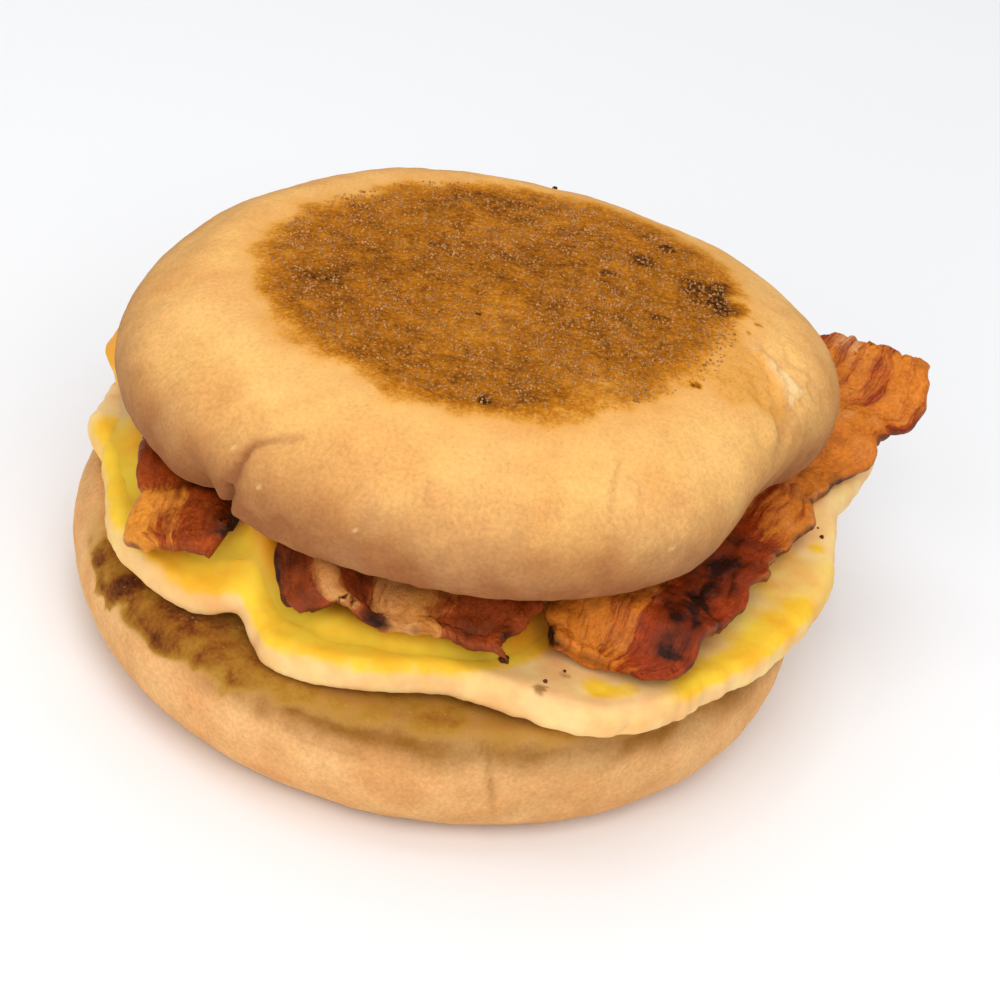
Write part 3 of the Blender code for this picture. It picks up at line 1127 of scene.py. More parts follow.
    def build(self, finish: CrustFinish) -> bpy.types.Object:
        """Builds the top half's crust.

        Args:
            finish: the crust's finish.

        Returns:
            The piece.
        """
        coarse, fine = self.ring_gaps
        mesh = turned(self.section.rings(self.hidden_to, coarse, 0.0, fine), self.steps, "muffin_top_crust")
        points = self.shape(points_of(mesh))
        set_points(mesh, points)
        toast = self.toast(points)
        cuts = marks_of(tuple(groove.laid_on(points) for groove in self.grooves), points)
        set_points(mesh, points + normals_of(mesh) * (self.relief(points, toast) - cuts)[:, None])
        crumb = 1.0 - smooth_step(points[:, 2], *self.crumb_below)
        paint(mesh, "toast", np.maximum(toast, self.crumb_toast * crumb))
        # Painted shade, darker towards the lower rim and in the cuts, with clouds of browner bake.
        azimuth, _ = polar(points[:, 0], points[:, 1])
        level = points[:, 2] + self.shade_edge.at(points) + lobes_at(self.shade_shift, azimuth)
        low = 1.0 - smooth_step(level, *self.shade_below)
        paint(mesh, "bake_and_shade", low + np.minimum(cuts, self.deepest_cut) + self.bake_clouds.at(points))
        pale = self.flour_on_flakes * marks_of(self.flakes, points)
        pale += self.flour_on_grit * marks_of(self.grit(), points)
        floury = smooth_step(self.flour_patches.at(points), *self.flour_from)
        paint(mesh, "flour", pale + self.flour_level * floury)
        return finish_piece(mesh, finish.material(), ("muffin_top",))


@dataclass(frozen=True)
class MuffinBottom:
    """The bottom half: a flat griddled base, a bulging floury side and a toasted cut face."""

    section: HalfSection = HalfSection(48.1, 18.5, 10.5, 38.0, 45.2, 2.0, 2.2)
    lobes: tuple[Lobe, ...] = (Lobe(218, 20, -0.6), Lobe(160, 22, 0.6), Lobe(60, 25, -0.8))
    rim_drop: Lobe = Lobe(213, 19, 2.6)
    rim_drop_starts: float = 37.0
    rim_drop_heights: Pair = (8.0, 18.0)
    steps: int = 560
    base_to: float = 30.0
    hidden_from: float = 34.0
    ring_gaps: Pair = (1.6, 0.56)
    relief_layers: tuple[Lumps, ...] = (Lumps(0.3, 13.0, 2, 31), Lumps(0.12, 4.5, 2, 32), Lumps(0.05, 1.5, 2, 33))
    relief_above: Pair = (0.3, 2.5)
    toast_line: float = 17.3
    toast_dip: Lobe = Lobe(215, 24, -2.6)
    toast_edge: Lumps = Lumps(0.9, 4.0, 3, 21)
    toast_fade: Pair = (-1.0, 1.5)
    toast_turn: Pair = (190.0, 210.0)
    # Partly painted shade: the cut face's toast just under the egg's edge.
    toast_level: float = 0.25
    toast_deepest: Lobe = Lobe(224, 14, 0.27)
    toast_clouds: tuple[Lumps, ...] = (Lumps(0.6, 5.0, 3, 22), Lumps(0.3, 1.8, 2, 23))
    toast_grain: Lumps = Lumps(0.15, 1.3, 2, 34)
    base_edge: Lumps = Lumps(1.2, 5.0, 2, 24)
    base_fade: Pair = (36.5, 40.0)
    base_below: Pair = (0.5, 2.0)
    base_toast: float = 0.5
    base_clouds: Lumps = Lumps(0.2, 7.0, 3, 25)
    scorches: tuple[Spot, ...] = (
        Spot((-42.4, -19.4, 14.7), 2.2, 0.25),
        Spot((-41.4, -23.0, 12.6), 2.0, 0.25),
        Spot((-39.3, -25.5, 13.5), 2.6, 0.3),
        Spot((-37.1, -26.0, 16.0), 2.6, 0.3),
        Spot((-22.0, -41.0, 15.0), 2.0, 0.2),
        Spot((46.0, -13.1, 17.0), 1.0, 0.7),
    )
    grooves: tuple[Groove, ...] = (
        Groove(((10.5, -45.5, 17.4), (11.4, -46.4, 14.0), (12.4, -46.4, 10.3), (13.4, -44.3, 4.5)), 0.32, 0.45, 0.35),
        Groove(((12.0, -45.3, 17.2), (13.6, -44.3, 18.0)), 0.25, 0.25, 0.2),
        Groove(((-20.9, -42.2, 15.3), (-11.9, -46.3, 12.9), (-6.8, -47.4, 13.1), (5.4, -47.5, 13.4)), 0.45, 0.2, 0.8),
        Groove(((-14.0, -45.0, 16.2), (-6.0, -47.0, 15.8), (4.0, -47.3, 15.6)), 0.5, 0.2, 0.8),
    )
    # Painted shade just under the egg's edge and in the cuts, and darker at the front and right; bake_level and the
    # clouds are the crust's own tone.
    bake_level: float = 0.05
    darker_front: Lobe = Lobe(292, 24, 0.22)
    shade_edge: Lumps = Lumps(0.7, 6.0, 3, 36)
    shade_above: Pair = (11.5, 17.0)
    shade_under_egg: float = 0.75
    shade_under_egg_left: Lobe = Lobe(188, 16, -0.6)
    shade_in_cuts: float = 0.9
    bake_clouds: Lumps = Lumps(0.12, 3.0, 3, 37)
    flour_level: float = 0.2
    flour_patches: Lumps = Lumps(1.0, 11.0, 3, 35)
    flour_from: Pair = (-0.1, 0.5)

    def shape(self, points: Array) -> Array:
        """Moves the turned section to the half's true form.

        Args:
            points: the turned section's points.

        Returns:
            The half's points.
        """
        azimuth, reach = polar(points[:, 0], points[:, 1])
        drop = lobes_at((self.rim_drop,), azimuth) * smooth_step(reach, self.rim_drop_starts, self.section.radius)
        drop *= smooth_step(points[:, 2], *self.rim_drop_heights)
        swell = 1.0 + lobes_at(self.lobes, azimuth) / self.section.radius
        return np.column_stack([points[:, 0] * swell, points[:, 1] * swell, points[:, 2] - drop])

    def toast(self, points: Array, height: Array) -> Array:
        """How scorched the half is: its griddled base, and the cut face out past its rim at the front left. Just
        under the egg's edge the cut face's toast is partly painted shade.

        Args:
            points: the half's points.
            height: how high each point was on the turned section.

        Returns:
            One share for each point.
        """
        azimuth, reach = polar(points[:, 0], points[:, 1])
        edge = self.toast_line + lobes_at((self.toast_dip,), azimuth) + self.toast_edge.at(points)
        face = smooth_step(height - edge, *self.toast_fade)
        most = self.toast_level * smooth_step(azimuth, *self.toast_turn) + lobes_at((self.toast_deepest,), azimuth)
        amount = face * most * (1.0 + layers_at(self.toast_clouds, points))
        base = 1.0 - smooth_step(reach + self.base_edge.at(points), *self.base_fade)
        base *= 1.0 - smooth_step(height, *self.base_below)
        amount += base * (self.base_toast + self.base_clouds.at(points))
        return amount + marks_of(self.scorches, points)

    def build(self, finish: CrustFinish) -> bpy.types.Object:
        """Builds the bottom half's crust.

        Args:
            finish: the crust's finish.

        Returns:
            The piece.
        """
        coarse, fine = self.ring_gaps
        rings = self.section.rings(self.base_to, coarse, self.hidden_from, fine)
        mesh = turned(rings, self.steps, "muffin_bottom_crust")
        unit = points_of(mesh)
        points = self.shape(unit)
        set_points(mesh, points)
        toast = self.toast(points, unit[:, 2])
        on_side = smooth_step(points[:, 2], *self.relief_above)
        cuts = marks_of(tuple(groove.laid_on(points) for groove in self.grooves), points)
        height = layers_at(self.relief_layers, points) + (toast * self.toast_grain.at(points) - cuts)
        set_points(mesh, points + normals_of(mesh) * (height * on_side)[:, None])
        paint(mesh, "toast", toast)
        # Painted shade: darkest just under the egg, less at the left, darker at the front and right and in the cuts.
        azimuth, _ = polar(points[:, 0], points[:, 1])
        high = smooth_step(points[:, 2] + self.shade_edge.at(points), *self.shade_above)
        bake_and_shade = self.bake_level + lobes_at((self.darker_front,), azimuth) + self.shade_in_cuts * cuts
        bake_and_shade += (self.shade_under_egg + lobes_at((self.shade_under_egg_left,), azimuth)) * high
        paint(mesh, "bake_and_shade", bake_and_shade + self.bake_clouds.at(points))
        paint(mesh, "flour", self.flour_level * smooth_step(self.flour_patches.at(points), *self.flour_from))
        return finish_piece(mesh, finish.material(), ("muffin_bottom",))


@dataclass(frozen=True)
class Filling:
    """The heights and outlines that the layers of the filling share."""

    egg_floor: float = 19.1
    egg_thickness: float = 5.0
    egg_radius: float = 46.3
    egg_lobes: tuple[Lobe, ...] = (
        Lobe(22, 6, 9.0),
        Lobe(5, 20, 5.0),
        Lobe(322, 24, 2.6),
        Lobe(301, 8, 2.8),
        Lobe(276, 10, -4.0),
        Lobe(236, 7, -4.4),
        Lobe(197, 12, -1.0),
        Lobe(184, 4, 1.8),
        Lobe(90, 30, -1.5),
    )
    egg_rim_lift: tuple[Lobe, ...] = (
        Lobe(233, 8, 1.4),
        Lobe(276, 12, 0.9),
        Lobe(20, 12, 2.4),
        Lobe(186, 10, 1.6),
        Lobe(110, 25, 0.9),
    )
    rim_starts: float = 0.5
    edge_starts: float = 0.955
    edge_power: float = 2.5
    edge_followed: float = 0.85
    slope_starts: float = 1.5
    slope: float = 0.4
    skin_layers: tuple[Lumps, ...] = (Lumps(0.25, 9.0, 2, 42), Lumps(0.12, 3.0, 3, 43))
    cheese_thickness: float = 1.6
    cheese_radius: float = 43.2
    cheese_lobes: tuple[Lobe, ...] = (
        Lobe(165, 6, 6.0),
        Lobe(192, 14, 1.6),
        Lobe(236, 8, -3.5),
        Lobe(276, 12, -2.0),
        Lobe(301, 9, -9.0),
        Lobe(322, 8, 5.5),
        Lobe(338, 6, 5.0),
        Lobe(5, 20, -4.5),
        Lobe(75, 9, 3.0),
    )
    gap: float = 0.6
    buckle: Swell = Swell(-22.2, -29.5, 2.5, 5.5, 5.4)
    fold: Lobe = Lobe(235, 8, 3.6)
    fold_width: float = 6.5
    rim_fold: float = 0.5
    off_cheese: Pair = (1.5, 8.0)

    def egg_outline(self, azimuth: Array) -> Array:
        """The egg's radius at each azimuth."""
        return self.egg_radius + lobes_at(self.egg_lobes, azimuth)

    def cheese_outline(self, azimuth: Array) -> Array:
        """The cheese's radius at each azimuth."""
        return self.cheese_radius + lobes_at(self.cheese_lobes, azimuth)

    def egg_underside(self, x: Array, y: Array) -> Array:
        """The height of the egg's lower face.

        Args:
            x: places on the plan.
            y: the same, the other way.

        Returns:
            One height for each place.
        """
        azimuth, reach = polar(x, y)
        to_rim = smooth_step(reach / self.egg_outline(azimuth), self.rim_starts, 1.0)
        return self.egg_floor + self.buckle.rise(x, y) + to_rim * lobes_at(self.egg_rim_lift, azimuth)

    def droop(self, x: Array, y: Array) -> Array:
        """How far the egg and its cheese fold down at the rim in front of the buckle.

        Args:
            x: places on the plan.
            y: the same, the other way.

        Returns:
            One drop for each place.
        """
        azimuth, reach = polar(x, y)
        to_rim = 1.0 - smooth_step(self.egg_outline(azimuth) - reach, self.rim_fold, self.fold_width)
        return lobes_at((self.fold,), azimuth) * to_rim

    def egg_relief(self, points: Array) -> Array:
        """How high the egg's skin stands at each point."""
        return layers_at(self.skin_layers, points)

    def egg_top(self, x: Array, y: Array) -> Array:
        """The height of the next layer on the egg."""
        return self.egg_underside(x, y) + self.egg_thickness + self.gap

    def egg_skin(self, x: Array, y: Array) -> Array:
        """The height of the egg's upper face, down its round edge and out along the slope past it.

        Args:
            x: places on the plan.
            y: the same, the other way.

        Returns:
            One height for each place.
        """
        azimuth, reach = polar(x, y)
        outline = self.egg_outline(azimuth)
        out = np.clip((reach / outline - self.edge_starts) / (1.0 - self.edge_starts), 0.0, self.edge_followed)
        round_edge = 0.5 * self.egg_thickness * (1.0 - (1.0 - out**self.edge_power) ** (1.0 / self.edge_power))
        slope = self.slope * np.maximum(0.0, reach - outline + self.slope_starts)
        skin = self.egg_underside(x, y) + self.egg_thickness - self.droop(x, y) - np.maximum(round_edge, slope)
        return skin + self.egg_relief(np.column_stack([x, y, skin]))

    def bacon_bed(self, x: Array, y: Array) -> Array:
        """The height that bacon lies on: the cheese, or the egg where there is no cheese.

        Args:
            x: places on the plan.
            y: the same, the other way.

        Returns:
            One height for each place.
        """
        azimuth, reach = polar(x, y)
        on_cheese = 1.0 - smooth_step(reach - self.cheese_outline(azimuth), *self.off_cheese)
        return self.egg_top(x, y) + on_cheese * (self.cheese_thickness + self.gap)


def slab_section(edge_starts: float, power: float, face_rings: int, edge_rings: int) -> list[Pair]:
    """The section of a slab with a round edge.

    Args:
        edge_starts: the share of the radius where the edge starts to turn.
        power: how square the edge is, from 2 for round upwards.
        face_rings: how many rings each flat face has.
        edge_rings: how many rings the edge has.

    Returns:
        (share of the radius, share of the thickness) pairs, from the lower middle to the upper middle.
    """
    shares = [edge_starts * math.sin(0.5 * math.pi * ring / face_rings) for ring in range(face_rings)]
    edge = []
    for ring in range(edge_rings + 1):
        turn = math.pi * (ring / edge_rings - 0.5)
        out = max(0.0, math.cos(turn)) ** (2.0 / power)
        up = math.copysign(abs(math.sin(turn)) ** (2.0 / power), turn)
        edge.append((edge_starts + (1.0 - edge_starts) * out, 0.5 + 0.5 * up))
    return [(share, 0.0) for share in shares] + edge + [(share, 1.0) for share in reversed(shares)]


@dataclass(frozen=True)
class Egg:
    """The flat cooked egg: a slab with a soft round edge that laps over the bottom half in waves."""

    filling: Filling
    steps: int = 600
    corners: tuple[Lobe, ...] = (Lobe(25.5, 3.0, 4.4), Lobe(172.0, 6.0, 1.4), Lobe(211.0, 8.0, 1.2))
    ragged: tuple[Lumps, ...] = (Lumps(0.35, 5.0, 3, 41), Lumps(0.2, 1.7, 2, 46))
    face_rings: int = 46
    edge_rings: int = 22
    spread: Lobe = Lobe(245, 28, 1.9)
    soaked_edge: Lumps = Lumps(1.2, 3.2, 3, 44)
    soaked_fade: Pair = (0.2, 2.6)
    top_edge: Lumps = Lumps(0.1, 2.0, 2, 47)
    top_from: Pair = (0.6, 0.9)
    yolk_level: float = 0.12
    yolk_clouds: Lumps = Lumps(0.12, 4.0, 2, 45)
    yellow_side: Lobe = Lobe(192, 13, 0.35)
    yellow_side_top: Lobe = Lobe(192, 13, 0.65)
    bare_side: Lobe = Lobe(332, 12, 1.4)
    bare_corner: tuple[Pair, Pair] = ((166.0, 170.0), (183.0, 188.0))
    bare_corner_edge: Lumps = Lumps(1.5, 3.0, 2, 48)
    bare_corner_from: Pair = (40.0, 42.5)
    bare_corner_level: float = 0.95
    smear: Groove = Groove(
        ((33.6, -35.4, 25.0), (37.0, -31.8, 25.0), (40.4, -26.6, 25.0), (43.4, -22.0, 25.0), (47.6, -15.8, 25.0)),
        2.0,
        1.5,
        0.7,
        0.0,
    )
    notch: Groove = Groove(((26.6, -42.9, 19.5), (26.8, -42.8, 21.5), (26.5, -42.3, 23.6)), 0.45, 1.0, 0.15)
    yellow_places: tuple[Spot, ...] = (
        Spot((22.6, -39.9, 24.3), 3.0, 0.9),
        Spot((26.0, -38.6, 24.2), 1.8, 0.7),
        Spot((48.6, -0.5, 24.6), 1.4, 0.8),
        Spot((46.5, -8.0, 24.6), 9.0, 0.4),
        Spot((40.0, -20.0, 24.6), 7.0, 0.3),
    )
    brown_places: tuple[Spot, ...] = (
        Spot((15.4, -42.5, 24.4), 1.0, 0.75),
        Spot((18.3, -38.6, 24.6), 0.8, 0.6),
    )
    bubbles: int = 90
    bubble_azimuths: Pair = (160.0, 400.0)
    bubble_reach: Pair = (42.0, 51.0)
    bubble_heights: Pair = (20.0, 25.0)
    bubble_widths: Pair = (0.3, 0.7)
    bubble_depth: float = 0.22

    def outline(self, azimuth: Array) -> Array:
        """The egg's radius, with small uneven steps along its cut edge.

        Args:
            azimuth: the azimuths that it is wanted at.

        Returns:
            One radius for each azimuth.
        """
        turn = np.radians(azimuth)
        ring = np.column_stack([np.cos(turn), np.sin(turn), np.zeros_like(turn)]) * self.filling.egg_radius
        return self.filling.egg_outline(azimuth) + lobes_at(self.corners, azimuth) + layers_at(self.ragged, ring)

    def build(self, finish: EggFinish) -> bpy.types.Object:
        """Builds the egg.

        Args:
            finish: the egg's finish.

        Returns:
            The piece.
        """
        section = slab_section(self.filling.edge_starts, self.filling.edge_power, self.face_rings, self.edge_rings)
        mesh = turned(section, self.steps, "cooked_egg")
        unit = points_of(mesh)
        azimuth, share = polar(unit[:, 0], unit[:, 1])
        reach = share * self.outline(azimuth)
        x = reach * np.cos(np.radians(azimuth))
        y = reach * np.sin(np.radians(azimuth))
        z = self.filling.egg_underside(x, y) - self.filling.droop(x, y) + unit[:, 2] * self.filling.egg_thickness
        points = np.column_stack([x, y, z])
        set_points(mesh, points)
        height = self.filling.egg_relief(points) - self.notch.mark(points) - self.dimples(points)
        set_points(mesh, points + normals_of(mesh) * height[:, None])
        paint(mesh, "yolk", self.yolk(points, unit[:, 2], azimuth))
        paint(mesh, "browned", marks_of(self.brown_places, points))
        return finish_piece(mesh, finish.material(), ("egg",))

    def dimples(self, points: Array) -> Array:
        """How deep the small burst bubbles in the egg's skin are.

        Args:
            points: the egg's points.

        Returns:
            One depth for each point.
        """
        draw = random.Random(7)
        depth = np.zeros(len(points))
        for _ in range(self.bubbles):
            azimuth = math.radians(draw.uniform(*self.bubble_azimuths))
            reach = draw.uniform(*self.bubble_reach)
            place = (reach * math.cos(azimuth), reach * math.sin(azimuth), draw.uniform(*self.bubble_heights))
            away = np.linalg.norm(points - np.array(place), axis=1)
            depth += self.bubble_depth * bell(away, draw.uniform(*self.bubble_widths))
        return depth

    def yolk(self, points: Array, height: Array, azimuth: Array) -> Array:
        """How yellow the egg is: its top where cheese has melted into it, and its whole edge at the left.

        Args:
            points: the egg's points.
            height: each point's share of the way up the egg's thickness.
            azimuth: the azimuth of each point.

        Returns:
            One share for each point.
        """
        reach = np.hypot(points[:, 0], points[:, 1])
        beyond = reach - self.filling.cheese_outline(azimuth) - lobes_at((self.spread,), azimuth)
        soaked = 1.0 - smooth_step(beyond + self.soaked_edge.at(points), *self.soaked_fade)
        on_top = smooth_step(height + self.top_edge.at(points), *self.top_from)
        left = lobes_at((self.yellow_side,), azimuth) + lobes_at((self.yellow_side_top,), azimuth) * on_top
        amount = self.yolk_level + soaked * on_top + left + self.yolk_clouds.at(points)
        amount -= np.clip(lobes_at((self.bare_side,), azimuth), 0.0, 1.0) * soaked * on_top
        begins, ends = self.bare_corner
        corner = smooth_step(azimuth, *begins) * (1.0 - smooth_step(azimuth, *ends))
        corner *= smooth_step(reach + self.bare_corner_edge.at(points), *self.bare_corner_from)
        amount *= 1.0 - self.bare_corner_level * corner
        return amount + self.smear.mark(points) * on_top + marks_of(self.yellow_places, points)


@dataclass(frozen=True)
class Cheese:
    """The slice of cheese: melted flat on the egg, thin at its edge, draped over the egg's rim at two corners.

    One corner has turned pale with grease, up to the yellow smear across it.
    """

    filling: Filling
    smear: Groove
    steps: int = 600
    melt: float = 5.0
    melt_lobes: tuple[Lobe, ...] = (Lobe(330, 13, 9.0), Lobe(163, 7, -3.8))
    corner: Lobe = Lobe(163, 4, 1.4)
    curl: Lobe = Lobe(163, 7, 4.6)
    curl_from: Pair = (43.0, 48.0)
    sunk: float = 0.12
    melted_sunk: float = 0.6
    edge_thickness: float = 0.06
    extra_thickness: float = 0.4
    edge_starts: float = 0.985
    edge_power: float = 2.0
    face_rings: int = 70
    edge_rings: int = 8
    uneven: Lumps = Lumps(0.5, 4.5, 3, 51)
    ripples: Lumps = Lumps(0.12, 4.0, 2, 52)
    melted_side: Lobe = Lobe(330, 13, 1.8)
    melted_from: Pair = (26.0, 31.0)
    thick_smear: float = 0.5
    # Painted shade: the corner at the left and the middle under the bacon turn deeper orange.
    corner_shade: Lobe = Lobe(163, 8, 1.4)
    shade_under_bacon: float = 0.7
    shade_under_bacon_to: Pair = (34.5, 41.0)
    thick_clouds: Lumps = Lumps(0.25, 5.0, 2, 53)
    pale_side: Lobe = Lobe(330, 13, 2.0)
    pale_side_from: Pair = (26.0, 32.0)
    pale_corner: Lobe = Lobe(179, 4.5, 1.4)
    pale_corner_from: Pair = (39.5, 42.5)

    def build(self, finish: CheeseFinish) -> bpy.types.Object:
        """Builds the cheese, whose edge sinks into the egg's skin so that no step shows.

        Args:
            finish: the cheese's finish.

        Returns:
            The piece.
        """
        section = slab_section(self.edge_starts, self.edge_power, self.face_rings, self.edge_rings)
        mesh = turned(section, self.steps, "melted_cheese")
        unit = points_of(mesh)
        azimuth, share = polar(unit[:, 0], unit[:, 1])
        turn = np.radians(azimuth)
        ring = np.column_stack([np.cos(turn), np.sin(turn), np.zeros_like(turn)]) * self.filling.cheese_radius
        outline = self.filling.cheese_outline(azimuth) + lobes_at((self.corner,), azimuth) + self.uneven.at(ring)
        reach = share * outline
        x, y = reach * np.cos(turn), reach * np.sin(turn)
        inward = smooth_step((outline - reach) / (self.melt + lobes_at(self.melt_lobes, azimuth)), 0.0, 1.0)
        melted_in = np.clip(lobes_at((self.melted_side,), azimuth), 0.0, 1.0) * smooth_step(reach, *self.melted_from)
        most = self.filling.cheese_thickness + self.extra_thickness - self.edge_thickness
        rise = most * inward * (1.0 - melted_in)
        z = self.filling.egg_skin(x, y) - self.sunk - self.melted_sunk * melted_in
        z += unit[:, 2] * (self.edge_thickness + rise)
        z += lobes_at((self.curl,), azimuth) * smooth_step(reach, *self.curl_from)
        points = np.column_stack([x, y, z])
        set_points(mesh, points)
        height = self.ripples.at(points) * inward
        set_points(mesh, points + normals_of(mesh) * height[:, None])
        smeared = np.clip(self.smear.mark(points), 0.0, 1.0)
        # Deeper orange along the thick smear, and as painted shade under the bacon and on the corner that hangs at
        # the left.
        thick_and_shade = self.thick_smear * smeared + lobes_at((self.corner_shade,), azimuth)
        thick_and_shade += self.shade_under_bacon * (1.0 - smooth_step(reach, *self.shade_under_bacon_to))
        paint(mesh, "thick_and_shade", thick_and_shade + self.thick_clouds.at(points))
        pale = lobes_at((self.pale_side,), azimuth) * smooth_step(reach, *self.pale_side_from) * (1.0 - smeared)
        pale += lobes_at((self.pale_corner,), azimuth) * smooth_step(reach, *self.pale_corner_from)
        paint(mesh, "stained", pale)
        return finish_piece(mesh, finish.material(), ("cheese",))


@dataclass(frozen=True)
class Streak:
    """A band that runs along a rasher, from one (across, along) place to another, both as shares."""

    start: Pair
    end: Pair
    half_width: float
    strength: float
    fade_in: Pair = (-0.08, 0.02)
    fade_out: Pair = (0.98, 1.08)

    def amount(self, across: Array, along: Array) -> Array:
        """How strongly the band marks each place.

        Args:
            across: each place's share of the way across.
            along: its share of the way along.

        Returns:
            One mark for each place.
        """
        share = (along - self.start[1]) / (self.end[1] - self.start[1])
        centre = self.start[0] + share * (self.end[0] - self.start[0])
        inside = smooth_step(share, *self.fade_in) * (1.0 - smooth_step(share, *self.fade_out))
        return self.strength * bell(across - centre, self.half_width) * inside


@dataclass(frozen=True)
class Rasher:
    """A strip of bacon between two long edges, each given from the front end to the back end."""

    name: str
    node: str
    filling: Filling
    roof: MuffinTop
    left: tuple[Pair, ...]
    right: tuple[Pair, ...]
    waves: float
    wave_start: float
    wave_height: float
    arch: float
    seed: int
    fat_streaks: tuple[Streak, ...]
    char_and_shade_streaks: tuple[Streak, ...]
    fat_places: tuple[Groove | Spot, ...] = ()
    char_and_shade_places: tuple[Groove | Spot, ...] = ()
    tallow_and_highlight_streaks: tuple[Streak, ...] = ()
    tallow_and_highlight_places: tuple[Groove | Spot, ...] = ()
    bites: tuple[Place, ...] = ()
    front_reach: tuple[Place, ...] = ()
    back_lift: float = 0.0
    fold_at: float = 0.25
    fold_height: float = 0.0
    fattiness: float = 0.4
    thickness: float = 1.7
    solid_thickness: float = 2.2
    ragged: float = 0.8
    across_steps: int = 70
    along_steps: int = 170
    crowding: Pair = (0.75, 0.6)
    nudge: float = 0.002
    patterns_apart: float = 40.0
    side_rags: tuple[Lumps, Lumps] = (Lumps(1.0, 3.6, 3, 0), Lumps(1.0, 3.6, 3, 1))
    front_rags: Lumps = Lumps(0.6, 3.0, 3, 2)
    back_rags: Lumps = Lumps(1.9, 2.6, 3, 3)
    rag_power: int = 4
    heading_from: float = 0.08
    front_to: float = 0.12
    back_from: float = 0.93
    lift_from: float = 0.72
    fold_half: Pair = (0.08, 0.07)
    skew: float = 0.2
    buckles: tuple[Lumps, ...] = (Lumps(0.55, 4.5, 2, 4), Lumps(0.25, 1.8, 2, 5))
    rim_width: float = 0.6
    rim_turn: float = 0.97
    faces_apart: float = 5.0
    strand_stretch: Place = (1.0, 0.2, 1.0)
    pucker_stretch: Place = (0.3, 1.0, 1.0)
    fat_stretch: Place = (1.6, 0.3, 0.0)
    uneven: Lumps = Lumps(0.25, 5.0, 2, 6)
    strands: Lumps = Lumps(0.12, 1.5, 2, 7)
    puckers: Lumps = Lumps(0.14, 1.7, 2, 11)
    blisters: Lumps = Lumps(0.1, 0.9, 2, 10)
    fat_rise: float = 0.25
    fat_from: Pair = (0.35, 0.65)
    fat_grain: Lumps = Lumps(0.6, 4.0, 3, 8)
    tallow_clouds: Lumps = Lumps(0.25, 3.5, 3, 12)
    char_level: float = 0.1
    char_clouds: Lumps = Lumps(0.35, 3.0, 3, 9)
    char_rim: Pair = (0.3, 0.25)

    def size(self) -> Pair:
        """Measures the rasher.

        Returns:
            (Its usual width, its length.)
        """
        left, right = np.array(self.left), np.array(self.right)
        length = np.linalg.norm(np.diff(left, axis=0), axis=1).sum()
        return float(np.linalg.norm(left[len(left) // 2] - right[len(right) // 2])), float(length)

    def middle(self, across: Array, along: Array) -> Array:
        """The middle of the rasher's thickness at each place.

        Args:
            across: the place's share of the way from the left edge to the right edge.
            along: its share of the way from the front end to the back end.

        Returns:
            One point in mm for each place.
        """
        left, right = curve_through(self.left, along), curve_through(self.right, along)
        width = np.linalg.norm(right - left, axis=1)
        length = self.size()[1] * along
        spare = np.zeros_like(along)
        rags_left, rags_right = self.side_rags
        shake_left = self.ragged * rags_left.at(np.column_stack([length, spare, spare]), self.seed)
        apart = spare + self.patterns_apart
        shake_right = self.ragged * rags_right.at(np.column_stack([length, apart, spare]), self.seed)
        for place, half_width, out in self.bites:
            shake_right += out * bell(along - place, half_width)
        power = self.rag_power
        shifted = across + (shake_right * across**power - shake_left * (1.0 - across) ** power) / width
        place = left + (right - left) * shifted[:, None]
        front = curve_through(self.left, np.zeros(1)) + curve_through(self.right, np.zeros(1))
        start = np.full(1, self.heading_from)
        behind = curve_through(self.left, start) + curve_through(self.right, start)
        ahead = (front - behind) / np.linalg.norm(front - behind)
        wide = np.column_stack([across * width, 2.0 * apart, spare])
        reach = self.ragged * self.front_rags.at(wide, self.seed)
        for centre, half_width, out in self.front_reach:
            reach += out * bell(across - centre, half_width)
        place = place + ahead * (reach * (1.0 - smooth_step(along, 0.0, self.front_to)))[:, None]
        tail = self.ragged * self.back_rags.at(wide, self.seed) * smooth_step(along, self.back_from, 1.0)
        place = place - ahead * tail[:, None]
        x, y = place[:, 0], place[:, 1]
        return np.column_stack([x, y, self.height(across, along, x, y)])

    def height(self, across: Array, along: Array, x: Array, y: Array) -> Array:
        """The height of the middle of the rasher's thickness.

        Args:
            across: each place's share of the way across.
            along: its share of the way along.
            x: where that is on the plan.
            y: the same, the other way.

        Returns:
            Heights that wave up and down between the bed and the top half.
        """
        phase = self.waves * along + self.skew * across + self.wave_start
        rise = self.wave_height * (0.5 + 0.5 * np.sin(math.tau * phase)) + self.arch * np.sin(math.pi * across)
        rise += self.back_lift * smooth_step(along, self.lift_from, 1.0)
        half_across, half_along = self.fold_half
        rise += self.fold_height * bell(across - self.fold_at, half_across) * bell(along - half_along, half_along)
        plan = np.column_stack([x, y, np.zeros_like(x)])
        rise += sum(buckle.at(plan, self.seed) for buckle in self.buckles)
        bed = self.filling.bacon_bed
        slope_x = 0.5 * (bed(x + 1.0, y) - bed(x - 1.0, y))
        slope_y = 0.5 * (bed(x, y + 1.0) - bed(x, y - 1.0))
        half = 0.5 * self.solid_thickness * np.sqrt(1.0 + slope_x**2 + slope_y**2)
        lowest = bed(x, y) + half - self.filling.gap
        room = self.roof.headroom(x, y) - self.filling.gap - half - lowest
        return lowest + np.clip(rise, 0.0, np.maximum(room, 0.0))

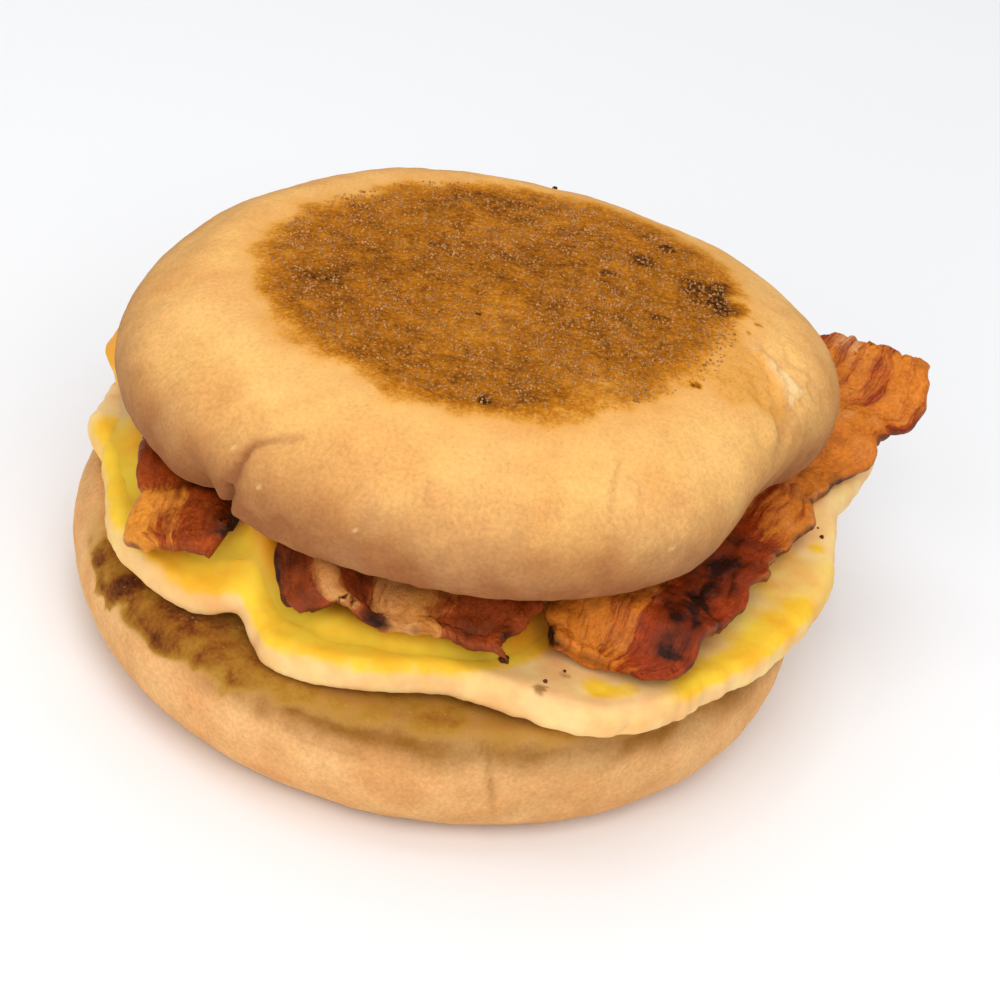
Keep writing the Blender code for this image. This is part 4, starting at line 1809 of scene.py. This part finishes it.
    def build(self, finish: BaconFinish) -> bpy.types.Object:
        """Builds the rasher: a grid made a closed slab, bent to its shape, with a round rim.

        Args:
            finish: the rasher's finish.

        Returns:
            The piece.
        """
        bm = bmesh.new()
        bmesh.ops.create_grid(bm, x_segments=self.across_steps, y_segments=self.along_steps, size=0.5)
        made = bmesh.ops.extrude_face_region(bm, geom=bm.faces[:])
        upper = [part for part in made["geom"] if isinstance(part, bmesh.types.BMVert)]
        bmesh.ops.translate(bm, verts=upper, vec=(0.0, 0.0, 1.0))
        mesh = mesh_from(bm, self.name)
        unit = points_of(mesh)
        across = self.spaced(unit[:, 0] + 0.5, self.crowding[0])
        along = self.spaced(unit[:, 1] + 0.5, self.crowding[1])
        side = np.where(unit[:, 2] > 0.5, 1.0, -1.0)
        here = self.middle(across, along)
        over = self.middle(across + self.nudge, along) - self.middle(across - self.nudge, along)
        onward = self.middle(across, np.minimum(along + self.nudge, 1.0))
        onward -= self.middle(across, np.maximum(along - self.nudge, 0.0))
        normal = np.cross(over, onward)
        normal /= np.maximum(np.linalg.norm(normal, axis=1), 1e-9)[:, None]
        width, length = self.size()
        rim = np.minimum(np.minimum(across, 1.0 - across) * width, np.minimum(along, 1.0 - along) * length)
        turn = 1.0 - np.clip(rim / (self.rim_width * self.thickness), 0.0, 1.0)
        # Places along the fibres. The two faces are far apart in them, so that each has its own pattern.
        flow = np.column_stack([across * width, along * length, self.faces_apart * side])
        fat = self.fat(here, flow, across, along)
        uneven = 1.0 + self.uneven.at(here * np.array((1.0, 1.0, 0.0)), self.seed)
        half = 0.5 * self.thickness * uneven * np.sqrt(1.0 - self.rim_turn * turn**2)
        relief = self.strands.at(flow * np.array(self.strand_stretch), self.seed)
        relief += self.puckers.at(flow * np.array(self.pucker_stretch), self.seed)
        relief += self.blisters.at(here, self.seed) + self.fat_rise * smooth_step(fat, *self.fat_from)
        points = here + normal * (side * (half + relief * (1.0 - turn)))[:, None]
        set_points(mesh, points)
        mesh.flip_normals()
        paint_flow(mesh, flow)
        paint(mesh, "fat", fat)
        paint(mesh, "tallow_and_highlight", self.tallow_and_highlight(here, across, along))
        paint(mesh, "char_and_shade", self.char_and_shade(here, rim, across, along))
        return finish_piece(mesh, finish.material(), (self.node,))

    @staticmethod
    def spaced(share: Array, crowding: float) -> Array:
        """Moves even shares closer together near 0 and 1."""
        return share - crowding * np.sin(math.tau * share) / math.tau

    def fat(self, points: Array, flow: Array, across: Array, along: Array) -> Array:
        """How fat the rasher is: in streaks that run along it, and in places of its own.

        Args:
            points: the points of its middle.
            flow: each point's place along the fibres, in mm.
            across: its share of the way across.
            along: its share of the way along.

        Returns:
            One share for each point.
        """
        fat = self.fattiness + self.fat_grain.at(flow * np.array(self.fat_stretch), self.seed)
        fat += marks_of(self.fat_places, points)
        for streak in self.fat_streaks:
            fat += streak.amount(across, along)
        return fat

    def tallow_and_highlight(self, points: Array, across: Array, along: Array) -> Array:
        """How pale the fat is where it hasn't crisped, with painted highlights on crests and on the tip.

        Args:
            points: the points of its middle.
            across: each point's share of the way across.
            along: its share of the way along.

        Returns:
            One share for each point.
        """
        pale = self.tallow_clouds.at(points, self.seed) + marks_of(self.tallow_and_highlight_places, points)
        for streak in self.tallow_and_highlight_streaks:
            pale += streak.amount(across, along)
        return pale

    def char_and_shade(self, points: Array, rim: Array, across: Array, along: Array) -> Array:
        """How burnt the rasher is, with painted shade: at its thin edges, in streaks and in places of its own, some
        of which darken hollows and parts deep under the top half.

        Args:
            points: the points of its middle.
            rim: how far each is from the rasher's rim, in mm.
            across: its share of the way across.
            along: its share of the way along.

        Returns:
            One share for each point.
        """
        at_rim, rim_width = self.char_rim
        char_and_shade = self.char_level + self.char_clouds.at(points, self.seed) + at_rim * bell(rim, rim_width)
        for streak in self.char_and_shade_streaks:
            char_and_shade += streak.amount(across, along)
        return char_and_shade + marks_of(self.char_and_shade_places, points)


@dataclass(frozen=True)
class Crumbs:
    """Loose bits on the sandwich: semolina grains on the crown, and specks of burnt crust and bacon."""

    grains: int = 4096
    grain_radius: Pair = (0.1, 0.23)
    grain_length: Pair = (0.8, 1.5)
    grain_height: Pair = (0.6, 1.0)
    grain_stands: float = 0.1
    spread: float = 30.0
    spread_middle: Pair = (2.0, 2.0)
    drop_height: float = 70.0
    thick_and_thin: Place = (0.5, 0.9, 6.0)
    specks: tuple[Spot, ...] = (
        Spot((15.9, -41.1, 24.6), 0.3, 1.0),
        Spot((18.1, -37.9, 24.5), 0.22, 1.0),
        Spot((10.7, -38.3, 25.2), 0.7, 1.0),
        Spot((49.5, 1.8, 24.9), 0.3, 1.0),
        Spot((48.9, 3.5, 25.1), 0.16, 1.0),
        Spot((6.5, 38.4, 48.8), 0.4, 1.0),
    )
    speck_lumps: float = 0.5
    speck_lumpiness: float = 1.4

    def semolina(self, crown: bpy.types.Object, finish: CrumbFinish) -> bpy.types.Object:
        """Scatters semolina grains over the crown, each half sunk into it.

        Args:
            crown: the top half.
            finish: the grains' finish.

        Returns:
            The piece.
        """
        draw = random.Random(3)
        bm = bmesh.new()
        bmesh.ops.create_icosphere(bm, subdivisions=1, radius=1.0)
        corners = len(bm.verts)
        while len(bm.verts) < self.grains * corners:
            bmesh.ops.duplicate(bm, geom=bm.verts[:] + bm.edges[:] + bm.faces[:])
        mesh = mesh_from(bm, "semolina_grains")
        grains = points_of(mesh).reshape(-1, corners, 3)
        tree = BVHTree.FromObject(crown, bpy.context.evaluated_depsgraph_get())
        for grain in grains:
            place, normal = self.landing(draw, tree)
            size = draw.uniform(*self.grain_radius)
            spin = Euler([draw.uniform(0.0, math.tau) for _ in range(3)]).to_matrix()
            stretch = Matrix.Diagonal((draw.uniform(*self.grain_length), 1.0, draw.uniform(*self.grain_height)))
            middle = np.array(place / MM + self.grain_stands * size * normal)
            grain[:] = size * grain @ np.array(spin @ stretch).T + middle
        set_points(mesh, grains.reshape(-1, 3))
        return finish_piece(mesh, finish.material(), ())

    def landing(self, draw: random.Random, tree: BVHTree) -> tuple[Vector, Vector]:
        """Finds a random place for a grain, more often where the grains lie thick.

        Args:
            draw: the source of random numbers.
            tree: the top half's faces.

        Returns:
            (The place on the crown in metres, its normal.)
        """
        x, y = self.spread_middle
        usual, contrast, size = self.thick_and_thin
        while True:
            reach = self.spread * math.sqrt(draw.random())
            azimuth = draw.uniform(0.0, math.tau)
            above = Vector((reach * math.cos(azimuth) + x, reach * math.sin(azimuth) + y, self.drop_height))
            if draw.random() < usual + contrast * noise.noise(above / size):
                place, normal, _, _ = tree.ray_cast(above * MM, Vector((0.0, 0.0, -1.0)))
                return place, normal

    def burnt(self, hosts: list[bpy.types.Object], finish: CrumbFinish) -> bpy.types.Object:
        """Sets each burnt speck on whichever of the hosts is nearest to it.

        Args:
            hosts: the pieces that specks may lie on.
            finish: the specks' finish.

        Returns:
            The piece.
        """
        bm = bmesh.new()
        for speck in self.specks:
            target = Vector(speck.place) * MM
            found = [host.closest_point_on_mesh(target) for host in hosts]
            place = min((point for hit, point, _, _ in found if hit), key=lambda point: (point - target).length)
            made = bmesh.ops.create_icosphere(bm, subdivisions=3, radius=speck.radius)
            for vert in made["verts"]:
                lumps = noise.noise(vert.co * self.speck_lumpiness / speck.radius + target)
                vert.co *= 1.0 + self.speck_lumps * lumps
            bmesh.ops.translate(bm, verts=made["verts"], vec=place / MM)
        return finish_piece(mesh_from(bm, "burnt_specks"), finish.material(), ())


@dataclass(frozen=True)
class Studio:
    """A plain pale floor, soft light from above and a camera at the viewing angle."""

    distance: float = 0.420
    elevation: float = 33.0
    roll: float = 11.0
    target_height: float = 0.025
    sensor: float = 36.0
    lens: float = 115.2
    shift: Pair = (0.048, -0.028)
    sees: Pair = (0.01, 20.0)
    floor_half: float = 3.0
    surround: float = 0.36
    overhead_power: float = 3.6
    fill_power: float = 7.8
    low_fill_power: float = 3.4
    floor_colour: str = "#f7f8fa"
    floor_rough: float = 0.9

    def camera(self) -> None:
        """Adds the camera and makes it the scene's."""
        elevation, roll = math.radians(self.elevation), math.radians(self.roll)
        forward = Vector((0.0, math.cos(elevation), -math.sin(elevation)))
        right = Vector((1.0, 0.0, 0.0))
        up = right.cross(forward)
        across = right * math.cos(roll) + up * math.sin(roll)
        upward = up * math.cos(roll) - right * math.sin(roll)
        data = bpy.data.cameras.new("camera")
        data.sensor_width = self.sensor
        data.lens = self.lens
        data.shift_x, data.shift_y = self.shift
        data.clip_start, data.clip_end = self.sees
        camera = bpy.data.objects.new("camera", data)
        place = Vector((0.0, 0.0, self.target_height)) - forward * self.distance
        turn = Matrix((across, upward, -forward)).transposed().to_4x4()
        camera.matrix_world = Matrix.Translation(place) @ turn
        bpy.context.scene.collection.objects.link(camera)
        bpy.context.scene.camera = camera

    def floor(self) -> None:
        """Adds the floor: a matt white board, which gives the eye a plain ground with a soft shadow."""
        bm = bmesh.new()
        bmesh.ops.create_grid(bm, x_segments=1, y_segments=1, size=self.floor_half)
        mesh = mesh_from(bm, "floor")
        material, tree, shader = new_material("matt_white_board")
        fill_sockets(tree, shader, {"Base Color": linear(self.floor_colour), "Roughness": self.floor_rough})
        mesh.materials.append(material)
        floor = bpy.data.objects.new("floor", mesh)
        bpy.context.scene.collection.objects.link(floor)

    def light(self, name: str, place: Place, size: float, power: float) -> None:
        """Adds a square soft light that faces the sandwich.

        Args:
            name: the light's name.
            place: its middle, in metres.
            size: its side, in metres.
            power: its power, in watts.
        """
        data = bpy.data.lights.new(name, "AREA")
        data.shape = "SQUARE"
        data.size = size
        data.energy = power
        light = bpy.data.objects.new(name, data)
        toward = Vector((0.0, 0.0, self.target_height)) - Vector(place)
        light.matrix_world = Matrix.Translation(place) @ toward.to_track_quat("-Z", "Y").to_matrix().to_4x4()
        bpy.context.scene.collection.objects.link(light)

    def build(self) -> None:
        """Sets up the whole studio."""
        world = bpy.data.worlds.new("soft_surround")
        world.use_nodes = True
        background = world.node_tree.nodes["Background"]
        background.inputs["Color"].default_value = (1.0, 1.0, 1.0, 1.0)
        background.inputs["Strength"].default_value = self.surround
        bpy.context.scene.world = world
        bpy.context.scene.view_settings.view_transform = "Standard"
        self.floor()
        self.light("overhead", (-0.1, 0.12, 1.0), 0.8, self.overhead_power)
        self.light("front_fill", (0.25, -0.82, 0.96), 0.9, self.fill_power)
        self.light("low_fill", (-0.35, -0.85, 0.62), 0.7, self.low_fill_power)
        self.camera()


def rashers(filling: Filling, roof: MuffinTop) -> list[tuple[Rasher, BaconFinish]]:
    """The three rashers.

    Args:
        filling: the layers that they lie on.
        roof: the half that lies on them.

    Returns:
        Each rasher with its finish.
    """
    left = Rasher(
        "bacon_rasher_left",
        "bacon_left",
        filling,
        roof,
        left=(
            (-35.4, -33.2),
            (-37.9, -31.2),
            (-38.2, -28.4),
            (-37.5, -25.5),
            (-39.2, -16.5),
            (-38.0, 2.0),
            (-34.0, 15.0),
        ),
        right=(
            (-27.0, -35.0),
            (-25.4, -33.4),
            (-24.4, -30.0),
            (-24.2, -24.0),
            (-24.4, -14.0),
            (-23.4, 2.0),
            (-26.0, 15.0),
        ),
        waves=2.0,
        wave_start=0.6,
        wave_height=3.4,
        arch=1.2,
        seed=60,
        ragged=0.45,
        fat_streaks=(
            Streak((0.2, -0.1), (0.25, 0.3), 0.26, 0.4),
            Streak((0.85, -0.1), (0.7, 1.0), 0.22, -0.7),
            Streak((0.35, 0.22), (0.3, 1.0), 0.5, -0.9),
        ),
        # Painted shade: the rasher's right part, deep under the top half's rim, darkens to near black.
        char_and_shade_streaks=(
            Streak((1.0, 0.05), (0.85, 0.3), 0.15, 0.6),
            Streak((0.8, 0.2), (0.75, 0.6), 0.35, 0.5),
        ),
    )
    middle = Rasher(
        "bacon_rasher_middle",
        "bacon_middle",
        filling,
        roof,
        left=(
            (-14.6, -39.6),
            (-17.6, -38.2),
            (-19.4, -33.6),
            (-19.6, -28.0),
            (-19.0, -16.0),
            (-19.0, 14.0),
            (-14.0, 38.0),
        ),
        right=((11.2, -43.0), (10.0, -41.0), (13.5, -35.0), (13.6, -31.8), (9.5, -16.0), (8.5, 14.0), (8.0, 39.0)),
        waves=3.5,
        wave_start=0.65,
        wave_height=2.4,
        arch=0.8,
        seed=70,
        fold_at=0.2,
        fold_height=3.6,
        front_reach=((0.03, 0.05, 0.8), (0.5, 0.25, 0.5)),
        fat_streaks=(
            Streak((0.04, -0.1), (0.05, 1.0), 0.09, -0.9),
            Streak((0.2, -0.1), (0.2, 1.0), 0.05, 0.9),
            Streak((0.33, -0.1), (0.33, 0.2), 0.06, -0.8),
            Streak((0.54, -0.1), (0.5, 1.0), 0.13, 0.65),
            Streak((0.88, -0.1), (0.84, 1.0), 0.12, -0.9),
        ),
        char_and_shade_places=(Groove(((2.0, -40.6, 29.0), (6.0, -41.0, 29.5), (9.8, -40.6, 29.8)), 1.1, 0.3, 0.6, 0.2),),
        # Painted highlights on the crest of the curled end and in the fat beside it.
        tallow_and_highlight_streaks=(Streak((0.2, -0.1), (0.2, 1.0), 0.03, 0.5), Streak((0.47, -0.1), (0.45, 1.0), 0.06, 0.4)),
        # The first streak is painted shade in the hollow behind the curled end; the others are char on the front flap
        # and on the dark fold at the right.
        char_and_shade_streaks=(
            Streak((0.33, -0.1), (0.34, 0.2), 0.05, 0.45),
            Streak((0.05, -0.1), (0.05, 0.4), 0.08, 0.42),
            Streak((0.86, -0.1), (0.84, 0.2), 0.06, 0.15),
        ),
        across_steps=100,
    )
    right = Rasher(
        "bacon_rasher_right",
        "bacon_right",
        filling,
        roof,
        left=((16.3, -36.6), (15.1, -34.0), (15.2, -29.0), (16.5, -20.0), (21.0, 0.0), (32.0, 22.0), (47.0, 38.0)),
        right=(
            (27.5, -38.4),
            (31.8, -37.2),
            (34.3, -33.0),
            (36.6, -27.4),
            (39.8, -20.6),
            (43.2, -9.6),
            (46.4, -1.8),
            (49.0, 9.0),
            (54.8, 13.6),
            (56.0, 18.0),
            (57.4, 22.0),
            (60.9, 23.4),
            (61.9, 27.4),
            (61.6, 32.6),
        ),
        waves=4.5,
        wave_start=0.6,
        wave_height=2.6,
        arch=1.2,
        back_lift=5.6,
        seed=80,
        ragged=0.7,
        bites=(
            (0.285, 0.014, -0.8),
            (0.315, 0.012, 1.1),
            (0.42, 0.02, -0.9),
            (0.535, 0.016, 1.0),
            (0.575, 0.01, -0.9),
        ),
        fattiness=0.5,
        fat_streaks=(
            Streak((0.3, -0.1), (0.15, 0.25), 0.3, 0.35),
            Streak((1.0, 0.3), (0.95, 0.75), 0.16, 0.35),
            Streak((0.45, 0.75), (0.4, 1.1), 0.1, 0.4),
            Streak((0.85, 0.75), (0.75, 1.1), 0.1, 0.4),
        ),
        fat_places=(
            Groove(
                (
                    (30.5, -36.0, 28.0),
                    (31.8, -31.0, 29.5),
                    (33.6, -25.0, 30.0),
                    (36.2, -17.0, 30.0),
                    (38.4, -9.0, 30.0),
                ),
                3.2,
                -1.3,
                1.0,
                0.3,
            ),
            Groove(((27.0, -18.0, 30.0), (31.0, -8.0, 30.0), (38.0, 6.0, 30.0)), 3.0, -0.8, 1.0, 0.3),
            Spot((51.0, 20.5, 34.5), 2.6, 0.6),
            Spot((54.4, 17.6, 34.0), 2.4, 0.6),
        ),
        # Pale fat on the lifted tip, partly painted highlight where the tip catches the light.
        tallow_and_highlight_places=(
            Spot((51.2, 35.5, 35.0), 3.0, 0.9),
            Spot((50.4, 20.5, 34.5), 3.2, 0.9),
            Spot((54.4, 17.6, 34.0), 2.6, 0.9),
            Spot((52.4, 14.0, 33.0), 2.2, 0.8),
            Spot((58.9, 23.7, 35.0), 2.0, 0.9),
        ),
        # Char along the right edge, partly painted shade on the facet that turns down to the right.
        char_and_shade_places=(
            Groove(((30.0, -35.0, 28.5), (31.0, -31.0, 29.5), (33.0, -26.0, 30.0)), 2.3, 0.75, 1.6, 0.2),
            Groove(((34.0, -22.5, 30.0), (35.5, -18.0, 30.0), (37.4, -12.0, 30.0)), 2.2, 0.8, 1.6, 0.4),
        ),
        char_and_shade_streaks=(
            Streak((0.0, -0.1), (0.0, 0.08), 0.07, 0.5),
            Streak((1.0, 0.35), (1.0, 0.9), 0.03, 0.3),
        ),
        across_steps=90,
        along_steps=200,
    )
    crisp = BaconFinish("fried_bacon_left", fat=("#ee9a34", "#c6761c"))
    pale = BaconFinish("fried_bacon_middle", ("#ae4c1c", "#74300c"), ("#dc9444", "#b06a28"), "#d6a068")
    red = BaconFinish("fried_bacon_right", lean=("#b44414", "#7c2a08"))
    return [(left, crisp), (middle, pale), (right, red)]


def main() -> None:
    """Builds the studio and every piece of the sandwich."""
    logging.basicConfig(level=logging.INFO, format="%(message)s")
    Studio().build()
    filling = Filling()
    roof = MuffinTop()
    # The bottom's toast colours run olive at their light end, which is painted shade under the egg; the floury
    # crust's darker tone is painted shade at the front and under the egg.
    toast_and_shade_stops = ((0.0, "#dca65a"), (0.25, "#ad7e2e"), (0.45, "#985f1f"), (0.65, "#784019"), (1.0, "#3a1d0a"))
    floury = CrustFinish(
        "floury_muffin_crust",
        ("#f7c080", "#eaab6c"),
        toast_and_shade_stops,
        "#946226",
        semolina_share=0.03,
        blotch_contrast=0.7,
        speckle_contrast=1.1,
    )
    bottom = MuffinBottom().build(floury)
    top = roof.build(CrustFinish("griddled_muffin_crust"))
    flat_egg = Egg(filling)
    egg = flat_egg.build(EggFinish())
    Cheese(filling, flat_egg.smear).build(CheeseFinish())
    for rasher, finish in rashers(filling, roof):
        rasher.build(finish)
    crumbs = Crumbs()
    crumbs.semolina(top, CrumbFinish("semolina", "#c48e58", "#92643a"))
    crumbs.burnt([top, bottom, egg], CrumbFinish("burnt_crust", "#7a4420", "#3a1c0c"))


if __name__ == "__main__":
    main()
